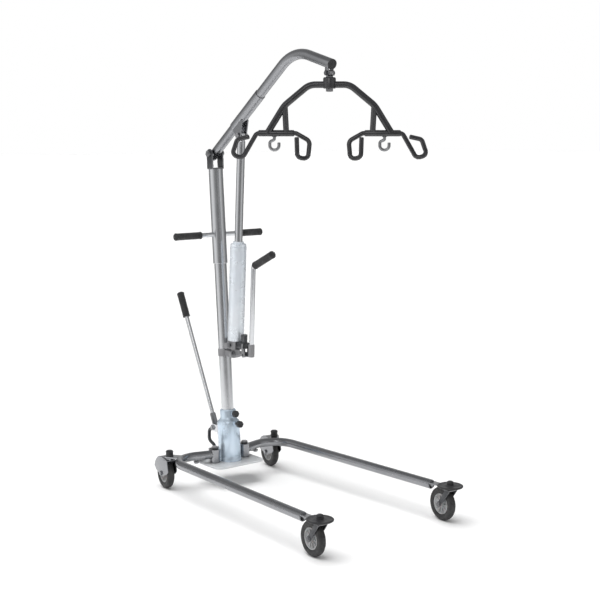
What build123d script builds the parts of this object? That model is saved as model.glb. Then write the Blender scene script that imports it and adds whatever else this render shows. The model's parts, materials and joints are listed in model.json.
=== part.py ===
"""Hydraulic patient lift: wheeled base with spreading legs, mast, pump, boom and six-point cradle.

Millimetres, +Z up, +X towards the leg tips, +Y to the caregiver's left. The origin is on the
floor under the middle of the lift. Every sub-part is one node in parts/.
"""
from build123d import *
from math import atan2, cos, hypot, radians, sin
import os

os.makedirs("parts", exist_ok=True)

# ---------------------------------------------------------------- driving dimensions
PIVOT_LINE_X = -317.3        # leg pivot line, seen from the middle of the lift
RUN = 0.05                   # radial running clearance of a shaft in its bore
SIDES = {"left": 1, "right": -1}

WHEEL_R = 63.5               # 5 inch casters
WHEEL_WIDTH = 28.0
RIM_R = 39.0                 # where hub and tyre meet
CASTER_TRAIL = 40.0
FRONT_STEM = (957.0, 313.0)  # x, half track
REAR_STEM = (-44.0, 266.0)
FRONT_YAW = -5.0
REAR_YAW = -9.0

LEG_R = 17.5
LEG_WALL = 2.0
LEG_Z = 126.0
LEG_PIVOT_Y = 75.0
LEG_CORNER = (-58.0, 272.0)
LEG_BEND_R = 100.0
LEG_TUBE_END_X = 864.0

PLATE_Z = 84.0
PLATE_THICK = 8.0
PLATE_TOP = PLATE_Z + PLATE_THICK

MAST_LEAN = 4.1              # degrees, backwards
MAST_FOOT_X = 10.0           # mast axis at floor level
MAST_R = 25.0
MAST_WALL = 2.5
SLEEVE_R = 29.0
SLEEVE_FOOT = 905.0          # distances along the mast, from the floor
LOWER_TUBE_TOP = 940.0
SLEEVE_TOP = 1288.0
HANDLEBAR_AT = 1023.0
BOOM_PIVOT_AT = 1350.0

BOOM_R = 19.0
BOOM_WALL = 2.5
BOOM_RISE = 37.0             # degrees above level
BOOM_DROOP = 16.0            # degrees below level, past the bend
BOOM_BEND_R = 180.0
BOOM_END = (642.0, 1674.0)
BOOM_TAIL = 24.0             # tube behind the pivot
RAM_LUG = (96.0, 1421.0)     # where the piston rod pushes the boom

PUMP_PIN = (45.0, 540.0)
PUMP_R = 33.0
PUMP_ROD_R = 16.0
LEVER_PIVOT = (118.0, 548.0)

SHIFTER_PIVOT = (-96.0, 211.0)
SHIFTER_TIP = (-356.0, 753.0)
LINK_YOKE = (-110.0, 14.0)   # x, half spacing of the two link pins
LINK_LEG_PIN = (-24.0, 150.0)
LINK_Z = 99.0
LINK_THICK = 5.0

HANGER = (630.0, 1643.0)
CRADLE_YAW = 42.0            # degrees from the +Y axis towards +X
CRADLE_BAR_R = 12.0
SLING_BAR_R = 11.5
SLING_ROD_R = 8.3
SLING_BAR_Z = 1430.0
SLING_GAP = 28.0             # sideways offset of a sling hook's free end
J_HOOK_AT = 198.0
HOOK_R = 5.5


# ---------------------------------------------------------------- frames and small helpers
def at(x, y, z):
    """Point measured from the leg pivot line, in the part's own frame."""
    return Vector(x + PIVOT_LINE_X, y, z)


def leaning_plane(foot, direction, offset=0.0):
    """Plane across an axis in the XZ plane: local z along the axis, local y along +Y."""
    axis = Vector(*direction).normalized()
    across = Vector(axis.Z, 0, -axis.X)
    return Plane(origin=foot + axis * offset, x_dir=across, z_dir=axis)


def side_plane(x, z, y=0.0, x_dir=(1, 0, 0)):
    """Plane facing +Y through a point of the XZ plane, for profiles seen from the side."""
    along = Vector(*x_dir).normalized()
    return Plane(origin=at(x, y, z), x_dir=along, z_dir=(0, 1, 0))


MAST_AXIS = (-sin(radians(MAST_LEAN)), 0, cos(radians(MAST_LEAN)))
MAST_FOOT = at(MAST_FOOT_X, 0, 0)


def mast_plane(s):
    return leaning_plane(MAST_FOOT, MAST_AXIS, s)


def mast_point(s):
    """x and z, from the leg pivot line, of a point of the mast axis."""
    return MAST_FOOT_X + MAST_AXIS[0] * s, MAST_AXIS[2] * s


BOOM_PIVOT = mast_point(BOOM_PIVOT_AT)
PUMP_AXIS = (RAM_LUG[0] - PUMP_PIN[0], 0, RAM_LUG[1] - PUMP_PIN[1])
PUMP_LENGTH = hypot(PUMP_AXIS[0], PUMP_AXIS[2])


def pump_plane(t):
    return leaning_plane(at(PUMP_PIN[0], 0, PUMP_PIN[1]), PUMP_AXIS, t)


def swept_bar(points, bends, radius, bore=0.0, plane=Plane.XY):
    """Round bar or tube along straight runs joined by arcs."""
    with BuildPart() as bar:
        with BuildLine(plane) as route:
            if len(points) == 2:
                Line(*points)
            else:
                FilletPolyline(*points, radius=bends)
        start = route.line @ 0
        with BuildSketch(Plane(origin=start, z_dir=route.line % 0)):
            Circle(radius)
            if bore > 0:
                Circle(bore, mode=Mode.SUBTRACT)
        sweep()
    return bar


def pin_across(x, z, radius, y_from, y_to):
    """Cylinder along Y."""
    with BuildPart() as pin:
        with BuildSketch(Plane(origin=at(x, y_from, z), x_dir=(1, 0, 0), z_dir=(0, 1, 0))):
            Circle(radius)
        extrude(amount=y_to - y_from)
    return pin


def hex_bolt(x, z, radius, grip, head_r, head_thick):
    """Bolt along Y with a head and a nut outside a grip that is centred on y = 0."""
    with BuildPart() as bolt:
        add(pin_across(x, z, radius, -grip - head_thick - 2, grip + 1).part)
        for y in (-grip - head_thick, grip):
            with BuildSketch(Plane(origin=at(x, y, z), x_dir=(1, 0, 0), z_dir=(0, 1, 0))):
                RegularPolygon(head_r, 6)
            extrude(amount=head_thick)
    return bolt


def save(builder, name):
    builder.part.label = name
    export_step(builder.part, f"parts/{name}.step")


# ---------------------------------------------------------------- base
def make_base_plate():
    corner = 26.0
    with BuildPart() as plate:
        with BuildSketch(Plane.XY.offset(PLATE_Z)):
            with Locations(at(6, 0, 0)):
                RectangleRounded(166, 236, corner)
            with Locations(at(0, LEG_PIVOT_Y, 0), at(0, -LEG_PIVOT_Y, 0)):
                Circle(8 + RUN, mode=Mode.SUBTRACT)
        extrude(amount=PLATE_THICK)
        fillet(plate.faces().sort_by(Axis.Z)[-1].outer_wire().edges(), 2.0)
    return plate


def make_mast_socket():
    outer = 46.0
    wall = 4.0
    collar = 33.0
    with BuildPart() as socket:
        with BuildSketch(mast_plane(0) * Plane.XZ) as profile:
            with BuildLine():
                Polyline(
                    (outer, PLATE_Z - 20), (outer, 256), (collar, 268), (collar, 304),
                    (MAST_R + RUN, 304), (MAST_R + RUN, 262), (outer - wall, 250),
                    (outer - wall, PLATE_Z - 20), close=True,
                )
            make_face()
        revolve(axis=Axis(MAST_FOOT, MAST_AXIS))
        for s, start, end in ((288.0, 31.0, 39.0), (248.0, 43.0, 56.0)):
            with BuildSketch(knob_plane(s, start)):
                Circle(9.0)
            extrude(amount=end - start)
            with BuildSketch(knob_plane(s, MAST_R - 1)):
                Circle(5 + RUN)
            extrude(amount=end - MAST_R + 2, mode=Mode.SUBTRACT)
        split(bisect_by=Plane.XY.offset(PLATE_TOP), keep=Keep.TOP)
    return socket


def knob_plane(s, distance):
    """Plane facing forwards from the mast, at a distance from its axis."""
    here = mast_plane(s)
    return Plane(origin=here.origin + here.x_dir * distance, x_dir=(0, 1, 0), z_dir=here.x_dir)


def make_lock_knob(s, screw_from, knob_from):
    knob_r = 14.0
    knob_length = 20.0
    with BuildPart() as knob:
        with BuildSketch(knob_plane(s, screw_from)):
            Circle(5.0)
        extrude(amount=knob_from - screw_from + 2)
        with BuildSketch(knob_plane(s, knob_from)):
            Circle(knob_r)
            with PolarLocations(knob_r + 3.5, 6):
                Circle(5.0, mode=Mode.SUBTRACT)
        extrude(amount=knob_length)
        with BuildSketch(knob_plane(s, knob_from - 5)):
            Circle(8.0)
        extrude(amount=6.0)
        ends = knob.faces().sort_by(Axis(MAST_FOOT, mast_plane(0).x_dir))
        fillet(ends[-1].outer_wire().edges(), 2.0)
    return knob


def make_leg_pivot_bolts():
    with BuildPart() as bolts:
        for y in (LEG_PIVOT_Y, -LEG_PIVOT_Y):
            with BuildSketch(Plane.XY.offset(PLATE_Z - 9)):
                with Locations(at(0, y, 0)):
                    RegularPolygon(13.5, 6)
            extrude(amount=9)
            with BuildSketch(Plane.XY.offset(PLATE_Z)):
                with Locations(at(0, y, 0)):
                    Circle(8.0)
            extrude(amount=66)
            with BuildSketch(Plane.XY.offset(149.0)):
                with Locations(at(0, y, 0)):
                    RegularPolygon(13.5, 6)
            extrude(amount=11)
        tops = bolts.faces().filter_by(Axis.Z).group_by(Axis.Z)[-1]
        chamfer(tops.edges(), 2.0)
    return bolts


# ---------------------------------------------------------------- legs and casters
def leg_heading():
    return atan2(FRONT_STEM[1] - LEG_CORNER[1], FRONT_STEM[0] - LEG_CORNER[0])


def make_leg(side):
    heading = leg_heading()
    length = LEG_TUBE_END_X - LEG_CORNER[0]
    tube_end_y = LEG_CORNER[1] + length * (FRONT_STEM[1] - LEG_CORNER[1]) / (FRONT_STEM[0] - LEG_CORNER[0])
    tongue_z = 131.0
    tongue_thick = 5.0
    bracket_z = 136.0
    with BuildPart() as leg:
        add(swept_bar(
            [at(0, side * LEG_PIVOT_Y, LEG_Z),
             at(LEG_CORNER[0], side * LEG_CORNER[1], LEG_Z),
             at(LEG_TUBE_END_X, side * tube_end_y, LEG_Z)],
            [LEG_BEND_R], LEG_R, LEG_R - LEG_WALL,
        ).part)
        # pivot bush
        with BuildSketch(Plane.XY.offset(PLATE_TOP + 0.4)):
            with Locations(at(0, side * LEG_PIVOT_Y, 0)):
                Circle(21.0)
        extrude(amount=148.4 - PLATE_TOP)
        with BuildSketch(Plane.XY.offset(PLATE_TOP)):
            with Locations(at(0, side * LEG_PIVOT_Y, 0)):
                Circle(8 + RUN)
        extrude(amount=60, mode=Mode.SUBTRACT)
        # end plug and flat tongue that carries the front caster
        tip = Plane(
            origin=at(LEG_TUBE_END_X, side * tube_end_y, LEG_Z),
            x_dir=(0, 0, 1), z_dir=(cos(heading), side * sin(heading), 0),
        )
        with BuildSketch(tip.offset(-3)):
            Circle(LEG_R - 1)
        extrude(amount=3)
        with BuildSketch(Plane(
            origin=at(FRONT_STEM[0], side * FRONT_STEM[1], tongue_z),
            x_dir=(cos(heading), side * sin(heading), 0), z_dir=(0, 0, 1),
        )):
            with Locations((-52, 0)):
                Rectangle(104, 30)
            Circle(15.0)
            Circle(6 + RUN, mode=Mode.SUBTRACT)
        extrude(amount=tongue_thick)
        # rear caster bracket, a round-ended plate from the bend to the caster stem
        inward = Vector(74 - REAR_STEM[0], 177 - REAR_STEM[1], 0).normalized()
        with BuildSketch(Plane(
            origin=at(REAR_STEM[0], side * REAR_STEM[1], bracket_z),
            x_dir=(inward.X, side * inward.Y, 0), z_dir=(0, 0, 1),
        )):
            Circle(20.0)
            with Locations((25, 0)):
                Rectangle(50, 40)
            Circle(6 + RUN, mode=Mode.SUBTRACT)
        extrude(amount=7.0)
        # pin for the spreader link, under the root of the leg
        with BuildSketch(Plane.XY.offset(LINK_Z - 0.5)):
            with Locations(at(LINK_LEG_PIN[0], side * LINK_LEG_PIN[1], 0)):
                Circle(5.0)
        extrude(amount=12.5)
        with BuildSketch(Plane.XY.offset(LINK_Z - 4)):
            with Locations(at(LINK_LEG_PIN[0], side * LINK_LEG_PIN[1], 0)):
                Circle(9.0)
        extrude(amount=3.6)
    return leg


def make_front_bumper(side):
    """Round bumper plate clamped on the tongue of the leg."""
    with BuildPart() as plate:
        with BuildSketch(Plane.XY.offset(136.0)):
            with Locations(at(FRONT_STEM[0], side * FRONT_STEM[1], 0)):
                Circle(48.0)
                Circle(6 + RUN, mode=Mode.SUBTRACT)
        extrude(amount=7.5)
        fillet(plate.edges().filter_by(GeomType.CIRCLE).sort_by(SortBy.RADIUS)[-2:], 3.0)
    return plate


def make_stem_caps(side):
    """Dome nuts on the caster stems: a low one at the front, a tall cap at the rear."""
    with BuildPart() as caps:
        for stem, foot, height, radius in ((FRONT_STEM, 143.5, 16.0, 13.0), (REAR_STEM, 143.0, 23.0, 15.5)):
            with BuildSketch(Plane.XY.offset(foot)):
                with Locations(at(stem[0], side * stem[1], 0)):
                    Circle(radius)
            extrude(amount=height)
            with BuildSketch(Plane.XY.offset(foot)):
                with Locations(at(stem[0], side * stem[1], 0)):
                    Circle(6 + RUN)
            extrude(amount=height - 6, mode=Mode.SUBTRACT)
        upward = caps.faces().filter_by(Axis.Z).filter_by(lambda face: face.normal_at().Z > 0.9)
        for dome in upward.filter_by(lambda face: face.center().Z > 155):
            fillet(dome.edges(), 5.0)
    return caps


def caster_plane(stem, side, yaw):
    """Frame of a caster: origin on the floor under its stem, local x forwards."""
    return Plane(
        origin=at(stem[0], side * stem[1], 0),
        x_dir=(cos(radians(yaw)), sin(radians(yaw)), 0), z_dir=(0, 0, 1),
    )


def make_fork(stem, side, yaw, crown_top, stem_top, hooded):
    """Pressed fork with its stem and axle bolt; a hooded one covers the top of the wheel."""
    frame = caster_plane(stem, side, yaw)
    inner = WHEEL_WIDTH / 2 + 3.0
    cheek = 3.5
    crown_z = 123.5
    axle = (-CASTER_TRAIL, WHEEL_R)
    upright = Plane(origin=frame.origin, x_dir=frame.x_dir, z_dir=-frame.y_dir)
    with BuildPart() as fork:
        for start in (inner, -inner - cheek):
            with BuildSketch(upright.offset(start)):
                with Locations(axle):
                    Circle(10.0)
                with Locations((0 if hooded else 6, crown_z + 1)):
                    Rectangle(34 if hooded else 22, 5)
                make_hull()
                if hooded:
                    with BuildLine():
                        CenterArc(axle, WHEEL_R + 6.5, 15, 150)
                        Line((axle[0] - 52, axle[1] + 4), (axle[0] + 52, axle[1] + 4))
                    make_hull()
            extrude(amount=cheek)
        with BuildSketch(frame.offset(crown_z)):
            Rectangle(34, 2 * (inner + cheek))
        extrude(amount=4.0)
        with BuildSketch(frame.offset(crown_z)):
            Circle(15.0)
        extrude(amount=crown_top - crown_z)
        with BuildSketch(frame.offset(crown_z)):
            Circle(6.0)
        extrude(amount=stem_top - crown_z)
        with BuildSketch(upright.offset(-inner - cheek - 4)):
            with Locations(axle):
                Circle(5.0)
        extrude(amount=2 * (inner + cheek + 4))
        for start in (inner + cheek, -inner - cheek - 6):
            with BuildSketch(upright.offset(start)):
                with Locations(axle):
                    RegularPolygon(9.0, 6)
            extrude(amount=6)
        if hooded:
            with BuildSketch(upright.offset(-inner - cheek)):
                with BuildLine():
                    CenterArc(axle, WHEEL_R + 6.5, 48, 110)
                    CenterArc(axle, WHEEL_R + 3.5, 48, 110)
                    for angle in (48, 158):
                        direction = Vector(cos(radians(angle)), sin(radians(angle)))
                        Line(
                            (axle[0] + direction.X * (WHEEL_R + 3.5), axle[1] + direction.Y * (WHEEL_R + 3.5)),
                            (axle[0] + direction.X * (WHEEL_R + 6.5), axle[1] + direction.Y * (WHEEL_R + 6.5)),
                        )
                make_face()
            extrude(amount=2 * (inner + cheek))
    return fork


def wheel_section(stem, side, yaw):
    """Plane through a wheel's axle, local x along the axle and local y upwards, and the axle's line."""
    frame = caster_plane(stem, side, yaw)
    centre = frame.origin - frame.x_dir * CASTER_TRAIL + Vector(0, 0, WHEEL_R)
    return Plane(origin=centre, x_dir=frame.y_dir, z_dir=frame.x_dir), Axis(centre, frame.y_dir)


def make_tyre(stem, side, yaw):
    section, axle = wheel_section(stem, side, yaw)
    half = WHEEL_WIDTH / 2
    rim = RIM_R
    with BuildPart() as tyre:
        with BuildSketch(section):
            with BuildLine():
                Line((-half + 2, rim), (half - 2, rim))
                Line((half - 2, rim), (half, rim + 6))
                Line((half, rim + 6), (half - 1, WHEEL_R - 6))
                ThreePointArc((half - 1, WHEEL_R - 6), (0, WHEEL_R), (-half + 1, WHEEL_R - 6))
                Line((-half + 1, WHEEL_R - 6), (-half, rim + 6))
                Line((-half, rim + 6), (-half + 2, rim))
            make_face()
        revolve(axis=axle)
    return tyre


def make_hub(stem, side, yaw):
    section, axle = wheel_section(stem, side, yaw)
    half = WHEEL_WIDTH / 2
    with BuildPart() as hub:
        with BuildSketch(section):
            with BuildLine():
                Polyline(
                    (-half - 1.5, 5 + RUN), (half + 1.5, 5 + RUN), (half + 1.5, 13), (half - 6, 17),
                    (half - 9, 30), (half - 3, 35), (half - 3, RIM_R), (3 - half, RIM_R), (3 - half, 35),
                    (9 - half, 30), (6 - half, 17), (-half - 1.5, 13), close=True,
                )
            make_face()
        revolve(axis=axle)
    return hub


# ---------------------------------------------------------------- leg spreader
def make_spreader_link(side):
    near = at(LINK_YOKE[0], side * LINK_YOKE[1], LINK_Z)
    far = at(LINK_LEG_PIN[0], side * LINK_LEG_PIN[1], LINK_Z)
    span = far - near
    plane = Plane(origin=near, x_dir=span.normalized(), z_dir=(0, 0, 1))
    eye_bore = 8.0
    with BuildPart() as link:
        with BuildSketch(plane):
            with Locations((span.length / 2, 0)):
                Rectangle(span.length, 15)
            Circle(13.0)
            Circle(eye_bore, mode=Mode.SUBTRACT)
            with Locations((span.length, 0)):
                Circle(11.0)
                Circle(5 + RUN, mode=Mode.SUBTRACT)
        extrude(amount=LINK_THICK)
    return link


def handle_direction():
    return (SHIFTER_TIP[0] - SHIFTER_PIVOT[0], 0, SHIFTER_TIP[1] - SHIFTER_PIVOT[1])


def handle_plane(t):
    return leaning_plane(at(SHIFTER_PIVOT[0], 0, SHIFTER_PIVOT[1]), handle_direction(), t)


HANDLE_LENGTH = hypot(SHIFTER_TIP[0] - SHIFTER_PIVOT[0], SHIFTER_TIP[1] - SHIFTER_PIVOT[1])


def make_shifter_crank():
    """Hub, handle socket, curved arm and the yoke that pulls both links."""
    x, z = SHIFTER_PIVOT
    yoke_x = LINK_YOKE[0]
    yoke_z = 110.0
    with BuildPart() as crank:
        add(pin_across(x, z, 14.0, -11.5, 11.5).part)
        with BuildSketch(handle_plane(8)):
            Circle(12.0)
        extrude(amount=52)
        with BuildSketch(handle_plane(24)):
            Circle(8.5)
        extrude(amount=40, mode=Mode.SUBTRACT)
        add(swept_bar(
            [at(x - 4, 0, z - 2), at(-146, 0, 190), at(-148, 0, 146), at(yoke_x, 0, 130),
             at(yoke_x, 0, yoke_z + 4)],
            [16, 20, 12], 7.0,
        ).part)
        with BuildSketch(Plane.XY.offset(yoke_z)):
            with Locations(at(yoke_x, 0, 0)):
                RectangleRounded(24, 52, 8)
        extrude(amount=8)
        for y in (LINK_YOKE[1], -LINK_YOKE[1]):
            with BuildSketch(Plane.XY.offset(87)):
                with Locations(at(yoke_x, y, 0)):
                    Circle(4.0)
            extrude(amount=yoke_z - 86)
            with BuildSketch(Plane.XY.offset(84)):
                with Locations(at(yoke_x, y, 0)):
                    Circle(7.0)
            extrude(amount=3.5)
        add(pin_across(x, z, 6 + RUN, -30, 30).part, mode=Mode.SUBTRACT)
    return crank


def make_shifter_rod():
    with BuildPart() as rod:
        with BuildSketch(handle_plane(24.5)):
            Circle(8.45)
        extrude(amount=HANDLE_LENGTH - 40)
    return rod


def make_shifter_grip():
    grip_length = 112.0
    with BuildPart() as grip:
        with BuildSketch(handle_plane(HANDLE_LENGTH - grip_length)):
            Circle(16.0)
        extrude(amount=grip_length)
        fillet(grip.edges().filter_by(GeomType.CIRCLE), 6.0)
        with BuildSketch(handle_plane(HANDLE_LENGTH - grip_length - 1)):
            Circle(8.5)
        extrude(amount=grip_length - 13, mode=Mode.SUBTRACT)
    return grip


def make_shifter_bracket():
    """Saddle and two ears on the back of the mast socket that hold the shifter's pin."""
    x, z = SHIFTER_PIVOT
    socket_x = mast_point(z)[0]
    ear_reach = socket_x - 30 - x
    with BuildPart() as bracket:
        with BuildSketch(mast_plane(z - 16)):
            with Locations((-34, 0)):
                Rectangle(30, 50)
        extrude(amount=32)
        for y in (12.0, -17.0):
            with BuildSketch(Plane(origin=at(x, y + 5, z), x_dir=(1, 0, 0), z_dir=(0, -1, 0))):
                Circle(15.0)
                with Locations((ear_reach / 2, 0)):
                    Rectangle(ear_reach, 30)
            extrude(amount=5)
        with BuildSketch(mast_plane(0)):
            Circle(46.0 + 0.02)
        extrude(amount=400, mode=Mode.SUBTRACT)
        add(pin_across(x, z, 6 + RUN, -30, 30).part, mode=Mode.SUBTRACT)
    return bracket


# ---------------------------------------------------------------- mast
def make_mast_lower_tube():
    with BuildPart() as tube:
        with BuildSketch(mast_plane(PLATE_Z - 10)):
            Circle(MAST_R)
            Circle(MAST_R - MAST_WALL, mode=Mode.SUBTRACT)
        extrude(amount=LOWER_TUBE_TOP - PLATE_Z + 10)
        split(bisect_by=Plane.XY.offset(PLATE_TOP), keep=Keep.TOP)
    return tube


def make_mast_upper_tube():
    x, z = mast_point(HANDLEBAR_AT)
    with BuildPart() as tube:
        with BuildSketch(mast_plane(SLEEVE_FOOT)):
            Circle(SLEEVE_R)
            Circle(MAST_R + RUN, mode=Mode.SUBTRACT)
        extrude(amount=SLEEVE_TOP - SLEEVE_FOOT)
        add(pin_across(x, z, 9.5 + RUN, -60, 60).part, mode=Mode.SUBTRACT)
    return tube


def make_mast_clevis():
    """Plug, cap and two ears that carry the boom's pivot bolt."""
    ear_in = 22.5
    ear_thick = 6.0
    ear_half = 19.0
    with BuildPart() as clevis:
        with BuildSketch(mast_plane(SLEEVE_TOP - 40)):
            Circle(MAST_R)
        extrude(amount=40)
        with BuildSketch(mast_plane(SLEEVE_TOP)):
            Circle(SLEEVE_R)
        extrude(amount=5)
        here = mast_plane(BOOM_PIVOT_AT)
        for y in (ear_in, -ear_in - ear_thick):
            with BuildSketch(Plane(
                origin=here.origin + Vector(0, y, 0), x_dir=here.x_dir, z_dir=(0, 1, 0),
            )):
                Circle(ear_half)
                with Locations((0, (BOOM_PIVOT_AT - SLEEVE_TOP) / 2)):
                    Rectangle(2 * ear_half, BOOM_PIVOT_AT - SLEEVE_TOP)
            extrude(amount=ear_thick)
        add(pin_across(*BOOM_PIVOT, 8 + RUN, -40, 40).part, mode=Mode.SUBTRACT)
    return clevis


def make_handlebar():
    x, z = mast_point(HANDLEBAR_AT)
    return pin_across(x, z, 9.5, -212.0, 212.0)


def make_handlebar_grip(side):
    x, z = mast_point(HANDLEBAR_AT)
    inner, outer = 90.0, 217.0
    with BuildPart() as grip:
        add(pin_across(x, z, 15.0, min(side * inner, side * outer), max(side * inner, side * outer)).part)
        fillet(grip.edges().filter_by(GeomType.CIRCLE), 5.0)
        bore_end = side * 212.0
        add(pin_across(x, z, 9.5, min(side * 80, bore_end), max(side * 80, bore_end)).part, mode=Mode.SUBTRACT)
    return grip


# ---------------------------------------------------------------- pump
def make_pump_bracket():
    """Clamp round the mast with two ears that hold the foot of the pump."""
    x, z = PUMP_PIN
    s = 540.0
    with BuildPart() as bracket:
        with BuildSketch(mast_plane(s - 15)):
            Circle(MAST_R + 3)
        extrude(amount=30)
        for y in (12.0, -17.0):
            with BuildSketch(Plane(origin=at(x, y + 5, z), x_dir=(-1, 0, 0), z_dir=(0, -1, 0))):
                Circle(14.0)
                with Locations((30, 0)):
                    Rectangle(60, 24)
            extrude(amount=5)
        with BuildSketch(mast_plane(s - 40)):
            Circle(MAST_R + 0.02)
        extrude(amount=80, mode=Mode.SUBTRACT)
        add(pin_across(x, z, 8 + RUN, -30, 30).part, mode=Mode.SUBTRACT)
    return bracket


def pump_side(y):
    """Side view of the pump: local x forwards across it, local y up along it, facing -Y."""
    here = pump_plane(0)
    return Plane(origin=here.origin + Vector(0, y, 0), x_dir=here.x_dir, z_dir=(0, -1, 0))


def pump_local(point):
    """Coordinates across and along the pump of a point of the XZ plane."""
    dx = point[0] - PUMP_PIN[0]
    dz = point[1] - PUMP_PIN[1]
    ax = PUMP_AXIS[0] / PUMP_LENGTH
    az = PUMP_AXIS[2] / PUMP_LENGTH
    return dx * az - dz * ax, dx * ax + dz * az


LEVER_AT = pump_local(LEVER_PIVOT)
NOSE_REACH = 16.0
NOSE_R = 6.0
PLUNGER_R = 6.0
PLUNGER_AT = LEVER_AT[0] - NOSE_REACH
PLUNGER_FOOT = LEVER_AT[1] + NOSE_R + 0.9


def make_pump_base():
    """Valve block under the cylinder, with its foot eye, lever ears and plunger housing."""
    block_low, shelf_low, block_high = 26.0, 36.0, 58.0
    with BuildPart() as block:
        with BuildSketch(pump_plane(block_low)):
            Circle(PUMP_R + 1)
        extrude(amount=block_high - block_low)
        with BuildSketch(pump_plane(shelf_low)):
            with Locations((40, 0)):
                RectangleRounded(64, 40, 6)
        extrude(amount=block_high - shelf_low)
        with BuildSketch(pump_plane(shelf_low)):
            with Locations((PLUNGER_AT, 0)):
                Circle(13.0)
        extrude(amount=56)
        with BuildSketch(pump_side(11.0)):
            Circle(15.0)
            with Locations((0, 16)):
                Rectangle(30, 30)
        extrude(amount=22)
        for y in (17.0, -12.0):
            with BuildSketch(pump_side(y)):
                with Locations(LEVER_AT):
                    Circle(10.0)
                with Locations((LEVER_AT[0], (LEVER_AT[1] + shelf_low + 4) / 2)):
                    Rectangle(20, shelf_low + 4 - LEVER_AT[1])
            extrude(amount=5)
        with BuildSketch(pump_plane(0)):
            with Locations((PLUNGER_AT, 0)):
                Circle(PLUNGER_R + RUN)
        extrude(amount=78, mode=Mode.SUBTRACT)
        add(pin_across(*PUMP_PIN, 8 + RUN, -30, 30).part, mode=Mode.SUBTRACT)
        add(pin_across(*LEVER_PIVOT, 5.0, -30, 30).part, mode=Mode.SUBTRACT)
        # bore of the release valve, on the near side
        with BuildSketch(pump_side(-20.0)):
            with Locations((6, 42)):
                Circle(6 + RUN)
        extrude(amount=30, mode=Mode.SUBTRACT)
    return block


def make_pump_cylinder():
    foot, top = 58.0, 440.0
    with BuildPart() as body:
        with BuildSketch(pump_plane(foot)):
            Circle(PUMP_R)
        extrude(amount=top - foot)
        with BuildSketch(pump_plane(foot + 10)):
            Circle(PUMP_ROD_R + 8)
        extrude(amount=top, mode=Mode.SUBTRACT)
    return body


def make_pump_gland():
    """Screwed head that guides the piston rod."""
    foot = 440.0
    with BuildPart() as gland:
        with BuildSketch(pump_plane(foot)):
            Circle(PUMP_R - 1)
        extrude(amount=12)
        with BuildSketch(pump_plane(foot + 12)):
            Circle(22.0)
        extrude(amount=10)
        with BuildSketch(pump_plane(foot - 20)):
            Circle(PUMP_ROD_R + 8 - 0.1)
        extrude(amount=20)
        fillet(gland.faces().sort_by(Axis.Z)[-1].edges(), 2.0)
        with BuildSketch(pump_plane(foot - 30)):
            Circle(PUMP_ROD_R + RUN)
        extrude(amount=70, mode=Mode.SUBTRACT)
    return gland


def make_piston_rod():
    """Rod with its piston inside the cylinder and a flattened eye under the boom."""
    eye_r = 14.0
    with BuildPart() as rod:
        with BuildSketch(pump_plane(300)):
            Circle(PUMP_ROD_R)
        extrude(amount=PUMP_LENGTH - 320)
        with BuildSketch(pump_plane(296)):
            Circle(PUMP_ROD_R + 7.9)
        extrude(amount=20)
        with BuildSketch(pump_side(9.0)):
            with Locations((0, PUMP_LENGTH)):
                Circle(eye_r)
            with Locations((0, PUMP_LENGTH - 14)):
                Rectangle(2 * eye_r - 4, 28)
        extrude(amount=18)
        add(pin_across(*RAM_LUG, 7.0, -30, 30).part, mode=Mode.SUBTRACT)
    return rod


LEVER_SOCKET = (154.0, 566.0)
HANDLE_CORNER = (170.0, 908.0)
HANDLE_TIP = (299.0, 968.0)


def make_pump_lever():
    """Cast lever: hub, nose under the plunger and a socket for the handle tube."""
    direction = (HANDLE_CORNER[0] - LEVER_SOCKET[0], 0, HANDLE_CORNER[1] - LEVER_SOCKET[1])
    with BuildPart() as lever:
        add(pin_across(*LEVER_PIVOT, 10.0, -11.5, 11.5).part)
        nose_x, nose_z = pump_point(PLUNGER_AT, LEVER_AT[1])
        add(pin_across(nose_x, nose_z, NOSE_R, -6, 6).part)
        with BuildSketch(pump_side(6.0)):
            with Locations((LEVER_AT[0] - NOSE_REACH / 2, LEVER_AT[1])):
                Rectangle(NOSE_REACH, 9)
        extrude(amount=12)
        with BuildSketch(side_plane(*LEVER_PIVOT, -8)):
            with Locations((16, -4)):
                Rectangle(38, 14)
        extrude(amount=16)
        with BuildSketch(leaning_plane(at(LEVER_SOCKET[0], 0, LEVER_SOCKET[1]), direction, -22)):
            Circle(12.5)
        extrude(amount=50)
        with BuildSketch(leaning_plane(at(LEVER_SOCKET[0], 0, LEVER_SOCKET[1]), direction, -6)):
            Circle(9.5)
        extrude(amount=60, mode=Mode.SUBTRACT)
        add(pin_across(*LEVER_PIVOT, 5 + RUN, -30, 30).part, mode=Mode.SUBTRACT)
    return lever


def pump_point(across, along):
    """x and z of a point given across and along the pump."""
    ax = PUMP_AXIS[0] / PUMP_LENGTH
    az = PUMP_AXIS[2] / PUMP_LENGTH
    return PUMP_PIN[0] + across * az + along * ax, PUMP_PIN[1] - across * ax + along * az


def make_pump_handle():
    """Bent handle tube that plugs into the lever."""
    foot = leaning_plane(
        at(LEVER_SOCKET[0], 0, LEVER_SOCKET[1]),
        (HANDLE_CORNER[0] - LEVER_SOCKET[0], 0, HANDLE_CORNER[1] - LEVER_SOCKET[1]), -5.5,
    ).origin
    corner = at(HANDLE_CORNER[0], 0, HANDLE_CORNER[1])
    end = at(HANDLE_TIP[0], 0, HANDLE_TIP[1])
    end = end - (end - corner).normalized() * 7
    return swept_bar([foot, corner, end], [12], 9.4, 7.4)


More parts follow.
